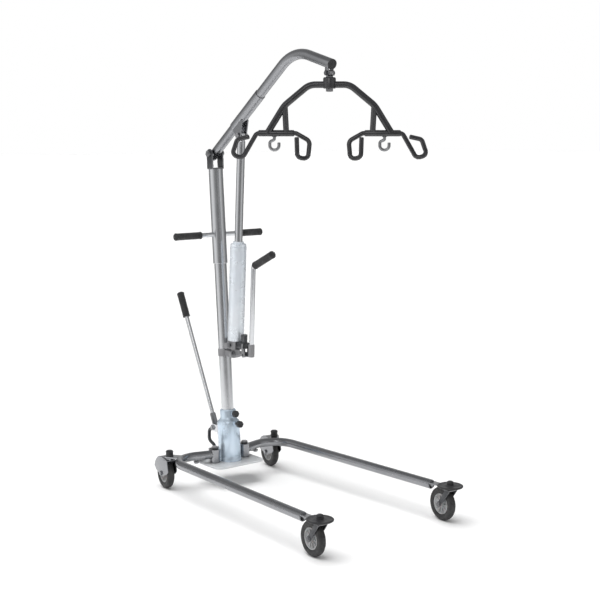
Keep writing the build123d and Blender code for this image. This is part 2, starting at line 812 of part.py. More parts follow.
def make_pump_handle_grip():
    direction = (HANDLE_TIP[0] - HANDLE_CORNER[0], 0, HANDLE_TIP[1] - HANDLE_CORNER[1])
    length = hypot(direction[0], direction[2])
    corner = at(HANDLE_CORNER[0], 0, HANDLE_CORNER[1])
    with BuildPart() as grip:
        with BuildSketch(leaning_plane(corner, direction, 12)):
            Circle(15.5)
        extrude(amount=length - 12)
        fillet(grip.edges().filter_by(GeomType.CIRCLE), 5.0)
        with BuildSketch(leaning_plane(corner, direction, 0)):
            Circle(9.45)
        extrude(amount=length - 6, mode=Mode.SUBTRACT)
    return grip


def make_pump_plunger():
    with BuildPart() as plunger:
        with BuildSketch(pump_plane(PLUNGER_FOOT)):
            with Locations((PLUNGER_AT, 0)):
                Circle(PLUNGER_R)
        extrude(amount=40)
    return plunger


def make_release_valve():
    """Turned valve stem with a knurled knob, on the near side of the valve block."""
    with BuildPart() as valve:
        with BuildSketch(pump_side(-20.5)):
            with Locations((6, 42)):
                Circle(6.0)
        extrude(amount=22)
        with BuildSketch(pump_side(-41.0)):
            with Locations((6, 42)):
                Circle(12.0)
                with PolarLocations(13.5, 8):
                    Circle(2.5, mode=Mode.SUBTRACT)
        extrude(amount=14)
    return valve


# ---------------------------------------------------------------- boom
BOOM_AXIS = (cos(radians(BOOM_RISE)), 0, sin(radians(BOOM_RISE)))
BOOM_TIP_AXIS = (cos(radians(BOOM_DROOP)), 0, -sin(radians(BOOM_DROOP)))
CAP_PLUG = 14.0


def boom_plane(t):
    """Plane across the straight rise of the boom, t from its pivot."""
    return leaning_plane(at(BOOM_PIVOT[0], 0, BOOM_PIVOT[1]), BOOM_AXIS, t)


def boom_side(y):
    """Side view of the boom: local x along it, local y above it, facing -Y."""
    origin = at(BOOM_PIVOT[0], y, BOOM_PIVOT[1])
    return Plane(origin=origin, x_dir=BOOM_AXIS, z_dir=(0, -1, 0))


def boom_local(point):
    dx = point[0] - BOOM_PIVOT[0]
    dz = point[1] - BOOM_PIVOT[1]
    return dx * BOOM_AXIS[0] + dz * BOOM_AXIS[2], -dx * BOOM_AXIS[2] + dz * BOOM_AXIS[0]


def boom_corner():
    """Where the rising line and the drooping line of the boom would meet."""
    rise = sin(radians(BOOM_RISE)) / cos(radians(BOOM_RISE))
    droop = sin(radians(BOOM_DROOP)) / cos(radians(BOOM_DROOP))
    x = (BOOM_END[1] + droop * BOOM_END[0] - BOOM_PIVOT[1] + rise * BOOM_PIVOT[0]) / (rise + droop)
    return x, BOOM_PIVOT[1] + rise * (x - BOOM_PIVOT[0])


def make_boom_tube():
    corner = boom_corner()
    tail = boom_plane(-BOOM_TAIL).origin
    with BuildPart() as boom:
        add(swept_bar(
            [tail, at(corner[0], 0, corner[1]), at(BOOM_END[0], 0, BOOM_END[1])],
            [BOOM_BEND_R], BOOM_R, BOOM_R - BOOM_WALL,
        ).part)
        add(pin_across(*BOOM_PIVOT, 13.0, -22.0, 22.0).part)
        add(pin_across(*BOOM_PIVOT, 8 + RUN, -40, 40).part, mode=Mode.SUBTRACT)
        for y in (9.0, -13.0):
            with BuildSketch(side_plane(*HANGER, y)):
                Circle(11.0)
                with Locations((-3, -12)):
                    Rectangle(16, 24)
            extrude(amount=4)
        with BuildSketch(leaning_plane(at(BOOM_END[0], 0, BOOM_END[1]), BOOM_TIP_AXIS, -CAP_PLUG - 1)):
            Circle(BOOM_R - BOOM_WALL)
        extrude(amount=CAP_PLUG + 1, mode=Mode.SUBTRACT)
        add(pin_across(*HANGER, 6.0, -30, 30).part, mode=Mode.SUBTRACT)
    return boom


def make_boom_ram_bracket():
    """Sleeve on the boom with the two ears that the piston rod pushes."""
    lug = boom_local(RAM_LUG)
    sleeve_from, sleeve_to = 176.0, 384.0
    with BuildPart() as bracket:
        with BuildSketch(boom_plane(sleeve_from)):
            Circle(21.5)
        extrude(amount=sleeve_to - sleeve_from)
        for y in (17.0, -12.0):
            with BuildSketch(boom_side(y)):
                with Locations(lug):
                    Circle(13.0)
                with Locations((lug[0] + 20, -15)):
                    Rectangle(70, 10)
                make_hull()
            extrude(amount=5)
        with BuildSketch(boom_plane(sleeve_from - 10)):
            Circle(BOOM_R + 0.02)
        extrude(amount=sleeve_to - sleeve_from + 20, mode=Mode.SUBTRACT)
        add(pin_across(*RAM_LUG, 6.0, -30, 30).part, mode=Mode.SUBTRACT)
    return bracket


def make_ram_bolts():
    """The two halves of the ram bolt that stand in the ears."""
    with BuildPart() as bolts:
        for side in (1, -1):
            low, high = sorted((side * 12.0, side * 18.0))
            add(pin_across(*RAM_LUG, 6.0, low, high).part)
            low, high = sorted((side * 17.0, side * 24.0))
            with BuildSketch(Plane(origin=at(RAM_LUG[0], low, RAM_LUG[1]), x_dir=(1, 0, 0), z_dir=(0, 1, 0))):
                RegularPolygon(11.0, 6)
            extrude(amount=high - low)
    return bolts


def make_boom_end_cap():
    end = at(BOOM_END[0], 0, BOOM_END[1])
    with BuildPart() as cap:
        with BuildSketch(leaning_plane(end, BOOM_TIP_AXIS, 0)):
            Circle(BOOM_R)
        extrude(amount=8)
        fillet(cap.faces().filter_by(GeomType.PLANE).sort_by(Axis.X)[-1].edges(), 4.0)
        with BuildSketch(leaning_plane(end, BOOM_TIP_AXIS, -CAP_PLUG)):
            Circle(BOOM_R - BOOM_WALL - 0.05)
        extrude(amount=CAP_PLUG)
    return cap


# ---------------------------------------------------------------- hanger and cradle
CRADLE_DIR = Vector(sin(radians(CRADLE_YAW)), cos(radians(CRADLE_YAW)), 0)
CRADLE_PLANE = Plane(origin=at(HANGER[0], 0, 0), x_dir=CRADLE_DIR, z_dir=CRADLE_DIR.cross(Vector(0, 0, 1)))
BOSS_LOW, BOSS_HIGH = 1588.0, 1628.0


def vertical_cylinder(x, y, z_from, z_to, radius):
    with BuildPart() as cylinder:
        with BuildSketch(Plane.XY.offset(z_from)):
            with Locations(at(x, y, 0)):
                Circle(radius)
        extrude(amount=z_to - z_from)
    return cylinder


def make_hanger_swivel():
    """Eye on the boom's end bolt with a plumb stem for the cradle to turn on."""
    x, z = HANGER
    with BuildPart() as swivel:
        add(pin_across(x, z, 11.0, -8.5, 8.5).part)
        add(vertical_cylinder(x, 0, BOSS_HIGH + 0.3, BOSS_HIGH + 3.7, 13.0).part)
        add(vertical_cylinder(x, 0, BOSS_LOW - 11, z - 7, 8.0).part)
        add(pin_across(x, z, 6 + RUN, -30, 30).part, mode=Mode.SUBTRACT)
    return swivel


def make_swivel_nut():
    with BuildPart() as nut:
        with BuildSketch(Plane.XY.offset(BOSS_LOW - 10.3)):
            with Locations(at(HANGER[0], 0, 0)):
                RegularPolygon(13.0, 6)
                Circle(8.0, mode=Mode.SUBTRACT)
        extrude(amount=10)
    return nut


def cradle_bar(points, bends, radius):
    return swept_bar(points, bends, radius, plane=CRADLE_PLANE)


def make_sling_bar(side):
    """Cross bar with an open loop hook at each end, the loops' free ends set to one side."""
    rod_in_bar = 30.0
    with BuildPart() as bar:
        add(cradle_bar([(side * 126, SLING_BAR_Z, 0), (side * 256, SLING_BAR_Z, 0)], [], SLING_BAR_R).part)
        fillet(bar.edges().filter_by(GeomType.CIRCLE), 4.0)
        add(cradle_bar(
            [(side * (256 - rod_in_bar), SLING_BAR_Z, 0), (side * 262, SLING_BAR_Z, 0),
             (side * 312, SLING_BAR_Z - 88, SLING_GAP * 0.35), (side * 350, SLING_BAR_Z - 78, SLING_GAP * 0.6),
             (side * 330, SLING_BAR_Z - 22, SLING_GAP * 0.85), (side * 286, SLING_BAR_Z - 12, SLING_GAP)],
            [18, 19, 17, 16], SLING_ROD_R,
        ).part)
        add(cradle_bar(
            [(side * (126 + rod_in_bar), SLING_BAR_Z, 0), (side * 120, SLING_BAR_Z, 0),
             (side * 70, SLING_BAR_Z - 28, SLING_GAP * 0.2), (side * 76, SLING_BAR_Z - 92, SLING_GAP * 0.5),
             (side * 114, SLING_BAR_Z - 86, SLING_GAP * 0.8), (side * 116, SLING_BAR_Z - 14, SLING_GAP)],
            [20, 22, 17, 17], SLING_ROD_R,
        ).part)
        hook = CRADLE_DIR * (side * J_HOOK_AT)
        add(vertical_cylinder(HANGER[0] + hook.X, hook.Y, SLING_BAR_Z - 13, SLING_BAR_Z, 9.0).part)
        bore_top = SLING_BAR_Z + 7
        add(vertical_cylinder(HANGER[0] + hook.X, hook.Y, 1300, bore_top, HOOK_R + RUN).part, mode=Mode.SUBTRACT)
    return bar


def make_cradle_frame(sling_bars):
    """Arched main bar with a strut each side, and the boss that turns on the hanger."""
    with BuildPart() as frame:
        add(cradle_bar(
            [(-223, SLING_BAR_Z, 0), (-162, 1528, 0), (-72, 1602, 0), (72, 1602, 0), (162, 1528, 0),
             (223, SLING_BAR_Z, 0)],
            [90, 60, 60, 90], CRADLE_BAR_R,
        ).part)
        for side in (1, -1):
            add(cradle_bar([(side * 160, 1526, 0), (side * 155, SLING_BAR_Z, 0)], [], 10.5).part)
        add(vertical_cylinder(HANGER[0], 0, BOSS_LOW, BOSS_HIGH, 23.0).part)
        fillet(frame.faces().filter_by(Axis.Z).sort_by(Axis.Z)[-1].edges(), 3.0)
        add(vertical_cylinder(HANGER[0], 0, BOSS_LOW - 20, BOSS_HIGH + 20, 8 + RUN).part, mode=Mode.SUBTRACT)
        for bar in sling_bars:
            add(bar.part, mode=Mode.SUBTRACT)
    return frame


def make_sling_hook(side):
    """Small J hook that turns in a blind hole under the sling bar."""
    axis = side * J_HOOK_AT
    low = SLING_BAR_Z - 60
    reach = 16.5
    return cradle_bar(
        [(axis, SLING_BAR_Z + 6.5, 0), (axis, low + 37, 0), (axis - reach, low + 29, 0), (axis - reach, low, 0),
         (axis + reach, low, 0), (axis + reach, low + 27, 0)],
        [7, 8, 16, 16], HOOK_R,
    )


# ---------------------------------------------------------------- build and write every node
save(make_base_plate(), "base_plate")
save(make_mast_socket(), "mast_socket")
save(make_leg_pivot_bolts(), "leg_pivot_bolts")
save(make_mast_lower_tube(), "mast_lower_tube")
save(make_mast_upper_tube(), "mast_upper_tube")
save(make_mast_clevis(), "mast_clevis")
save(hex_bolt(*BOOM_PIVOT, 8.0, 28.5, 14.0, 9.0), "boom_pivot_bolt")
save(make_handlebar(), "handlebar")
save(make_lock_knob(288.0, MAST_R + 0.3, 44.0), "lock_knob_upper")
save(make_lock_knob(248.0, MAST_R + 0.3, 70.0), "lock_knob_lower")
save(make_pump_bracket(), "pump_bracket")
save(hex_bolt(*PUMP_PIN, 8.0, 17.0, 13.0, 7.0), "pump_pin")
save(make_shifter_bracket(), "shifter_bracket")
save(hex_bolt(*SHIFTER_PIVOT, 6.0, 17.0, 11.0, 6.0), "shifter_pin")

for side_name, side in SIDES.items():
    save(make_handlebar_grip(side), f"handlebar_grip_{side_name}")
    save(make_leg(side), f"leg_{side_name}")
    save(make_front_bumper(side), f"front_bumper_{side_name}")
    save(make_stem_caps(side), f"stem_caps_{side_name}")
    save(make_spreader_link(side), f"spreader_link_{side_name}")
    for end, stem, yaw, crown_top, stem_top in (
        ("front", FRONT_STEM, FRONT_YAW, 130.5, 152.0), ("rear", REAR_STEM, REAR_YAW, 135.5, 158.0),
    ):
        place = (stem, side, yaw)
        save(make_fork(*place, crown_top, stem_top, end == "rear"), f"caster_fork_{end}_{side_name}")
        save(make_tyre(*place), f"caster_tyre_{end}_{side_name}")
        save(make_hub(*place), f"caster_hub_{end}_{side_name}")

save(make_shifter_crank(), "shifter_crank")
save(make_shifter_rod(), "shifter_rod")
save(make_shifter_grip(), "shifter_grip")

save(make_pump_base(), "pump_base")
save(make_pump_cylinder(), "pump_cylinder")
save(make_pump_gland(), "pump_gland")
save(make_piston_rod(), "pump_piston_rod")
save(make_pump_lever(), "pump_lever")
save(make_pump_handle(), "pump_handle")
save(make_pump_handle_grip(), "pump_handle_grip")
save(make_pump_plunger(), "pump_plunger")
save(make_release_valve(), "release_valve")

save(make_boom_tube(), "boom_tube")
save(make_boom_ram_bracket(), "boom_ram_bracket")
save(make_ram_bolts(), "ram_bolts")
save(make_boom_end_cap(), "boom_end_cap")
save(hex_bolt(*HANGER, 6.0, 13.0, 10.0, 6.0), "hanger_bolt")

save(make_hanger_swivel(), "hanger_swivel")
save(make_swivel_nut(), "swivel_nut")
bars = {side_name: make_sling_bar(side) for side_name, side in SIDES.items()}
save(make_cradle_frame(bars.values()), "cradle_frame")
for side_name, side in SIDES.items():
    save(bars[side_name], f"sling_bar_{side_name}")
    save(make_sling_hook(side), f"sling_hook_{side_name}")
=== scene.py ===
"""Looks of the patient lift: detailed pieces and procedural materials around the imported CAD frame.

Metres, in the CAD part's own frame: +Z up, +X towards the leg tips, +Y to the caregiver's left.
"""

import bmesh
import bpy
import json
from math import atan2, cos, pi, radians, sin, tan
from mathutils import Matrix, Vector


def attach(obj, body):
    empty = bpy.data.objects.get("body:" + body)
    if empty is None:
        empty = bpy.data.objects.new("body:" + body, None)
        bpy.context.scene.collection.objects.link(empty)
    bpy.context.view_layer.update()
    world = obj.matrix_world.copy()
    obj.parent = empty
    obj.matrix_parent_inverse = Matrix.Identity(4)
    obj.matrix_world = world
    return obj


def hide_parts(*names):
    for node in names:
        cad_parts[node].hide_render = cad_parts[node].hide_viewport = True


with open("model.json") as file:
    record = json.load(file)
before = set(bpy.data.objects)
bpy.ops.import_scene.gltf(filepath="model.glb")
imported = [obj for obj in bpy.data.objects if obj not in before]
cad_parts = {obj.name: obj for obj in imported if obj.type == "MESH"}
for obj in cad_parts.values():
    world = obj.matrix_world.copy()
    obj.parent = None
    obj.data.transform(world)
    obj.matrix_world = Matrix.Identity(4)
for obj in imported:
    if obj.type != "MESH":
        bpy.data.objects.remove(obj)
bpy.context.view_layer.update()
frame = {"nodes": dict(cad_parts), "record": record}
NODES = frame["nodes"]
RECORD = frame["record"]

# ---------------------------------------------------------------- places taken from the frame
JOINTS = {joint["name"]: joint for joint in RECORD["behaviour"]["joints"]}
SIDES = {"left": 1, "right": -1}
UP = Vector((0, 0, 1))
ACROSS = Vector((0, 1, 0))


def pivot(name):
    """The place of a joint's axis, at rest."""
    return Vector(JOINTS[name]["pos_m"])


# ---------------------------------------------------------------- materials
class NodeTree:
    """A node tree under construction, with a few short ways to add and link nodes."""

    def __init__(self, tree):
        self.tree = tree

    def add(self, kind, **settings):
        """A new node with some of its settings changed."""
        node = self.tree.nodes.new(kind)
        for name, value in settings.items():
            setattr(node, name, value)
        return node

    def link(self, source, target):
        """Joins an output socket to an input socket."""
        self.tree.links.new(source, target)

    def ramp(self, fac, stops):
        """Colours by a factor; stops are (position, colour) pairs."""
        node = self.add("ShaderNodeValToRGB")
        elements = node.color_ramp.elements
        while len(elements) < len(stops):
            elements.new(0.5)
        for element, (position, color) in zip(elements, stops):
            element.position = position
            element.color = (*color, 1)
        self.link(fac, node.inputs["Fac"])
        return node.outputs["Color"]

    def mix(self, fac, first, second):
        """Blend of two colours, each a plain colour or an output socket."""
        node = self.add("ShaderNodeMix", data_type="RGBA")
        self.link(fac, node.inputs["Factor"])
        for socket, value in zip((node.inputs[6], node.inputs[7]), (first, second)):
            if isinstance(value, tuple):
                socket.default_value = (*value, 1)
            else:
                self.link(value, socket)
        return node.outputs[2]


class Shader(NodeTree):
    """The node tree of a material."""

    def __init__(self, name, color, metallic=0.0, roughness=0.5, **sockets):
        self.material = bpy.data.materials.new(name)
        self.material.use_nodes = True
        super().__init__(self.material.node_tree)
        self.bsdf = self.tree.nodes["Principled BSDF"]
        self.bsdf.inputs["Base Color"].default_value = (*color, 1)
        self.bsdf.inputs["Metallic"].default_value = metallic
        self.bsdf.inputs["Roughness"].default_value = roughness
        for socket, value in sockets.items():
            self.bsdf.inputs[socket.replace("_", " ")].default_value = value
        self.place = self.add("ShaderNodeTexCoord").outputs["Object"]

    def noise(self, scale, detail=3.0, roughness=0.55):
        """Noise in the object's own space."""
        node = self.add("ShaderNodeTexNoise")
        node.inputs["Scale"].default_value = scale
        node.inputs["Detail"].default_value = detail
        node.inputs["Roughness"].default_value = roughness
        self.link(self.place, node.inputs["Vector"])
        return node.outputs["Fac"]

    def levels(self, fac, low, high, start=0.3, end=0.7):
        """Runs from low to high as the factor goes from start to end."""
        node = self.add("ShaderNodeMapRange")
        node.inputs["From Min"].default_value = start
        node.inputs["From Max"].default_value = end
        node.inputs["To Min"].default_value = low
        node.inputs["To Max"].default_value = high
        self.link(fac, node.inputs["Value"])
        return node.outputs["Result"]

    def edges(self, low=0.53, high=0.60):
        """1 on worn convex edges, 0 elsewhere."""
        pointiness = self.add("ShaderNodeNewGeometry").outputs["Pointiness"]
        return self.levels(pointiness, 0.0, 1.0, low, high)

    def bump(self, height, strength, distance):
        """Small relief over the whole surface."""
        node = self.add("ShaderNodeBump")
        node.inputs["Strength"].default_value = strength
        node.inputs["Distance"].default_value = distance
        self.link(height, node.inputs["Height"])
        self.link(node.outputs["Normal"], self.bsdf.inputs["Normal"])

    def drive(self, socket, source):
        """Lets an output socket set one of the surface's values."""
        self.link(source, self.bsdf.inputs[socket])


def coat(name, color, roughness, clouds, dark, light, gloss, relief, stops=(0.3, 0.7), worn=None,
         edge=(0.53, 0.60), metallic=0.0, **sockets):
    """A clouded, finely textured surface.

    clouds: scale, detail and perhaps roughness of the noise that runs from dark to light between the stops
    gloss: noise scale, lowest and highest roughness
    relief: noise scale, noise detail, strength and depth of the bump
    worn: colour of convex edges, whose pointiness is past the edge limits
    """
    shader = Shader(name, color, metallic, roughness, **sockets)
    tone = shader.ramp(shader.noise(*clouds), list(zip(stops, (dark, light))))
    if worn:
        tone = shader.mix(shader.edges(*edge), tone, worn)
    shader.drive("Base Color", tone)
    scale, lowest, highest = gloss
    shader.drive("Roughness", shader.levels(shader.noise(scale), lowest, highest))
    scale, detail, strength, depth = relief
    shader.bump(shader.noise(scale, detail), strength, depth)
    return shader.material


def chrome():
    """Chromed steel tube: bright and faintly clouded, with a very slight waviness."""
    return coat("chrome", (0.66, 0.67, 0.69), 0.2, clouds=(5.0, 3.0), dark=(0.60, 0.61, 0.63),
                light=(0.68, 0.69, 0.71), gloss=(18.0, 0.17, 0.23), relief=(34.0, 2.0, 0.02, 0.0003),
                metallic=1.0)


def chrome_with_painted_dark_reflection():
    """Chrome of the boom, the legs and the rear forks, darker and greyer all over: the darkness is painted
    dark reflection.
    """
    return coat("chrome_with_painted_dark_reflection", (0.31, 0.315, 0.33), 0.24, clouds=(5.0, 3.0), dark=(0.28, 0.285, 0.30),
                light=(0.35, 0.355, 0.37), gloss=(18.0, 0.21, 0.28), relief=(34.0, 2.0, 0.02, 0.0003),
                metallic=1.0)


def zinc():
    """Plated bolts and hooks: duller and warmer than the chrome, with a crystalline cast."""
    return coat("zinc", (0.36, 0.37, 0.38), 0.34, clouds=(90.0, 4.0), dark=(0.30, 0.31, 0.32),
                light=(0.42, 0.42, 0.43), gloss=(40.0, 0.28, 0.40), relief=(90.0, 4.0, 0.05, 0.0002),
                metallic=1.0)


def pale_metal():
    """Base plate: light satin enamel over steel, a little rubbed at its edges."""
    return coat("pale_metal", (0.78, 0.80, 0.82), 0.38, clouds=(14.0, 4.0), dark=(0.70, 0.725, 0.75),
                light=(0.82, 0.835, 0.85), gloss=(55.0, 0.30, 0.48), relief=(420.0, 2.0, 0.10, 0.0003),
                worn=(0.55, 0.56, 0.57), metallic=0.25)


def dark_metal():
    """Brackets and forks in dark enamel, with brighter rubbed edges."""
    return coat("dark_metal", (0.05, 0.052, 0.056), 0.36, clouds=(24.0, 4.0), dark=(0.035, 0.037, 0.041),
                light=(0.075, 0.078, 0.084), gloss=(70.0, 0.28, 0.46), relief=(480.0, 2.0, 0.12, 0.0003),
                worn=(0.26, 0.26, 0.27), metallic=0.35)


def black_coating():
    """Cradle: glossy black powder coat with a slight orange peel and worn hooks."""
    return coat("black_coating", (0.018, 0.018, 0.02), 0.3, clouds=(18.0, 4.0), dark=(0.012, 0.012, 0.014),
                light=(0.030, 0.030, 0.033), gloss=(60.0, 0.22, 0.38), relief=(260.0, 2.0, 0.16, 0.0005),
                worn=(0.09, 0.09, 0.092), edge=(0.56, 0.66), Coat_Weight=0.35, Coat_Roughness=0.15)


def silver_paint():
    """Pump cylinder: cool silver enamel."""
    return coat("silver_paint", (0.78, 0.83, 0.89), 0.28, clouds=(6.0, 3.0), dark=(0.74, 0.80, 0.87),
                light=(0.82, 0.86, 0.90), gloss=(20.0, 0.25, 0.32), relief=(34.0, 2.0, 0.02, 0.0003),
                metallic=0.4)


def socket_with_painted_blue_reflection():
    """Mast socket: light silver with a light-blue tint that is painted blue-white reflection."""
    return coat("socket_with_painted_blue_reflection", (0.62, 0.73, 0.84), 0.24, clouds=(7.0, 3.0), dark=(0.58, 0.70, 0.82),
                light=(0.67, 0.77, 0.87), gloss=(22.0, 0.20, 0.28), relief=(40.0, 2.0, 0.02, 0.0003),
                metallic=0.65)


def black_rubber():
    """Grips: matte rubber with a fine moulded grain and dust in the low places."""
    return coat("black_rubber", (0.02, 0.02, 0.021), 0.62, clouds=(30.0, 5.0), dark=(0.012, 0.012, 0.013),
                light=(0.040, 0.040, 0.041), gloss=(90.0, 0.52, 0.74), relief=(900.0, 2.0, 0.35, 0.0003),
                stops=(0.35, 0.75), Sheen_Weight=0.12)


def black_plastic():
    """Knobs, caps and bumper discs: moulded plastic with a fine spark texture."""
    return coat("black_plastic", (0.02, 0.02, 0.022), 0.42, clouds=(26.0, 3.0), dark=(0.014, 0.014, 0.016),
                light=(0.034, 0.034, 0.036), gloss=(80.0, 0.36, 0.52), relief=(700.0, 2.0, 0.22, 0.0003),
                worn=(0.10, 0.10, 0.105))


def tyre_rubber():
    """Caster tyres: dense black rubber with grey scuffs."""
    return coat("tyre", (0.022, 0.022, 0.023), 0.58, clouds=(48.0, 6.0, 0.7), dark=(0.016, 0.016, 0.017),
                light=(0.060, 0.058, 0.056), gloss=(110.0, 0.48, 0.70), relief=(600.0, 3.0, 0.25, 0.0003),
                stops=(0.4, 0.8))


def pale_plastic():
    """Wheel hubs: grey nylon with faint flow marks."""
    return coat("pale_plastic", (0.34, 0.345, 0.35), 0.4, clouds=(35.0, 4.0), dark=(0.28, 0.285, 0.29),
                light=(0.40, 0.405, 0.41), gloss=(90.0, 0.34, 0.50), relief=(520.0, 2.0, 0.14, 0.0003),
                Subsurface_Weight=0.04)


MATERIALS = {
    "chrome": chrome(), "chrome_with_painted_dark_reflection": chrome_with_painted_dark_reflection(), "socket_with_painted_blue_reflection": socket_with_painted_blue_reflection(), "zinc": zinc(),
    "pale_metal": pale_metal(), "dark_metal": dark_metal(), "black_coating": black_coating(),
    "silver_paint": silver_paint(), "black_rubber": black_rubber(), "black_plastic": black_plastic(),
    "tyre": tyre_rubber(), "pale_plastic": pale_plastic(),
}
SLOT_OF = {part["node"]: part["material_slot"] for part in RECORD["subparts"]}
# the ram bracket takes the chrome whose darker grey is painted dark reflection
SPECIAL_LOOKS = {"boom_ram_bracket": "chrome_with_painted_dark_reflection"}


def dress_cad_nodes():
    """Every CAD node takes the detailed material of its slot."""
    for name, node in NODES.items():
        look = SPECIAL_LOOKS.get(name, SLOT_OF[name])
        node.data.materials.clear()
        node.data.materials.append(MATERIALS[look])


# ---------------------------------------------------------------- mesh tools
MM = 0.001


def lift(x, y, z):
    """A point given in millimetres from the leg pivot line, as in the CAD source."""
    return Vector((x + PIVOT_LINE_X, y, z)) * MM


def frame_of(origin, along, hint=ACROSS):
    """4x4 matrix with its local z along a direction and its local y near the hint."""
    z = along.normalized()
    x = hint.cross(z).normalized()
    y = z.cross(x)
    return Matrix.Translation(origin) @ Matrix((x, y, z)).transposed().to_4x4()


def add_object(name, data):
    """Puts a new object into the scene."""
    thing = bpy.data.objects.new(name, data)
    bpy.context.collection.objects.link(thing)
    return thing


def finish_mesh(bm, name, slot, body, smooth_angle, node=None, look=None):
    """Turns a bmesh into a piece: smooth shading with crisp edges, its material, its body.

    The piece replaces the CAD node given, or the one of its own name.
    """
    bmesh.ops.remove_doubles(bm, verts=bm.verts, dist=1e-6)
    bmesh.ops.recalc_face_normals(bm, faces=bm.faces)
    for face in bm.faces:
        face.smooth = True
    for edge in bm.edges:
        if len(edge.link_faces) == 2 and edge.calc_face_angle() > radians(smooth_angle):
            edge.smooth = False
    mesh = bpy.data.meshes.new(name)
    bm.to_mesh(mesh)
    bm.free()
    mesh.materials.append(MATERIALS[look or slot])
    piece = add_object(name, mesh)
    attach(piece, body)
    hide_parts(node or name)


def rounded_profile(points, radius, steps=4):
    """A closed or open (radius, height) profile with its inner corners rounded."""
    rounded = [points[0]]
    for before, corner, after in zip(points, points[1:], points[2:]):
        corner_v = Vector(corner)
        back, ahead = Vector(before) - corner_v, Vector(after) - corner_v
        reach = min(radius, back.length * 0.45, ahead.length * 0.45)
        start, end = corner_v + back.normalized() * reach, corner_v + ahead.normalized() * reach
        for step in range(steps + 1):
            t = step / steps
            rounded.append(tuple((1 - t) ** 2 * start + 2 * t * (1 - t) * corner_v + t * t * end))
    return rounded + [points[-1]]


def add_turned(bm, matrix, profile, segments=48, flute=None):
    """Adds a body of revolution; profile is (radius, height) pairs in mm along the local z axis.

    flute(angle, radius, height) may return a changed radius, for grips and knobs.
    """
    rings = []
    for radius, height in profile:
        ring = []
        if radius < 1e-6:
            ring = [bm.verts.new(matrix @ Vector((0, 0, height * MM)))]
        else:
            for index in range(segments):
                angle = 2 * pi * index / segments
                r = flute(angle, radius, height) if flute else radius
                place = Vector((r * cos(angle), r * sin(angle), height)) * MM
                ring.append(bm.verts.new(matrix @ place))
        rings.append(ring)
    for lower, upper in zip(rings, rings[1:]):
        for index in range(segments):
            following = (index + 1) % segments
            corners = [lower[index % len(lower)], lower[following % len(lower)],
                       upper[following % len(upper)], upper[index % len(upper)]]
            unique = list(dict.fromkeys(corners))
            if len(unique) >= 3:
                bm.faces.new(unique)


def rounded_path(points, radii, steps=14):
    """Points of a route whose inner corners are arcs of the given radii (mm)."""
    path = [points[0]]
    for before, corner, after, radius in zip(points, points[1:], points[2:], radii):
        back, ahead = (before - corner).normalized(), (after - corner).normalized()
        half = back.angle(ahead) / 2
        reach = radius * MM / tan(half)
        middle = corner + (back + ahead).normalized() * (radius * MM / sin(half))
        start, end = corner + back * reach - middle, corner + ahead * reach - middle
        turn = start.angle(end)
        normal = start.cross(end).normalized()
        for step in range(steps + 1):
            path.append(middle + Matrix.Rotation(turn * step / steps, 3, normal) @ start)
    return path + [points[-1]]


def add_sweep(bm, path, radius, segments=32, end_round=0.0):
    """Adds a round bar along a path; its ends are flat or rounded by end_round (mm)."""
    stations = [(point, radius) for point in path]
    if end_round > 0:
        stations = round_end(path[0], path[1], radius, end_round) + stations[1:]
        stations = stations[:-1] + round_end(path[-1], path[-2], radius, end_round)[::-1]
    points = [station[0] for station in stations]
    tangents = []
    for index, point in enumerate(points):
        before = points[max(index - 1, 0)]
        after = points[min(index + 1, len(points) - 1)]
        tangents.append((after - before).normalized())
    side = tangents[0].orthogonal().normalized()
    rings = []
    for (point, r), tangent in zip(stations, tangents):
        side = (side - tangent * side.dot(tangent)).normalized()
        other = tangent.cross(side)
        rings.append([
            bm.verts.new(point + (side * cos(a) + other * sin(a)) * (r * MM))
            for a in (2 * pi * index / segments for index in range(segments))
        ])
    for lower, upper in zip(rings, rings[1:]):
        for index in range(segments):
            following = (index + 1) % segments
            bm.faces.new((lower[index], lower[following], upper[following], upper[index]))
    bm.faces.new(rings[0][::-1])
    bm.faces.new(rings[-1])


def round_end(end, inner, radius, reach):
    """Stations (point, radius) of a rounded bar end, from the tip inwards."""
    steps = 6
    inward = (inner - end).normalized()
    stations = []
    for step in range(steps + 1):
        angle = pi / 2 * step / steps
        point = end + inward * (reach * MM * (1 - cos(angle)))
        stations.append((point, radius - reach + reach * sin(angle)))
    return stations


def add_slab(bm, matrix, outline, low, high, bevel=0.0, segments=3):
    """Adds a flat plate: outline is (x, y) in mm in the matrix's frame, low and high its z in mm."""
    plate = bmesh.new()
    bottom = [plate.verts.new(Vector((x, y, low)) * MM) for x, y in outline]
    face = plate.faces.new(bottom)
    extruded = bmesh.ops.extrude_face_region(plate, geom=[face])
    top = [item for item in extruded["geom"] if isinstance(item, bmesh.types.BMVert)]
    bmesh.ops.translate(plate, verts=top, vec=(0, 0, (high - low) * MM))
    if bevel > 0:
        rims = [edge for edge in plate.edges if abs(edge.verts[0].co.z - edge.verts[1].co.z) < 1e-7]
        bmesh.ops.bevel(plate, geom=rims, offset=bevel * MM, segments=segments, affect="EDGES",
                        profile=0.5)
    plate.transform(matrix)
    merge(bm, plate)


def merge(bm, other):
    """Moves the faces of one bmesh into another."""
    mesh = bpy.data.meshes.new("merge")
    other.to_mesh(mesh)
    other.free()
    bm.from_mesh(mesh)
    bpy.data.meshes.remove(mesh)


def arc(centre, radius, start, end, steps=16):
    """(x, y) points of an arc, angles in degrees."""
    return [
        (centre[0] + radius * cos(radians(start + (end - start) * step / steps)),
         centre[1] + radius * sin(radians(start + (end - start) * step / steps)))
        for step in range(steps + 1)
    ]


def hexagon(radius):
    """Corners of a hexagon, radius from its middle to a corner."""
    return arc((0, 0), radius, 0, 300, 5)


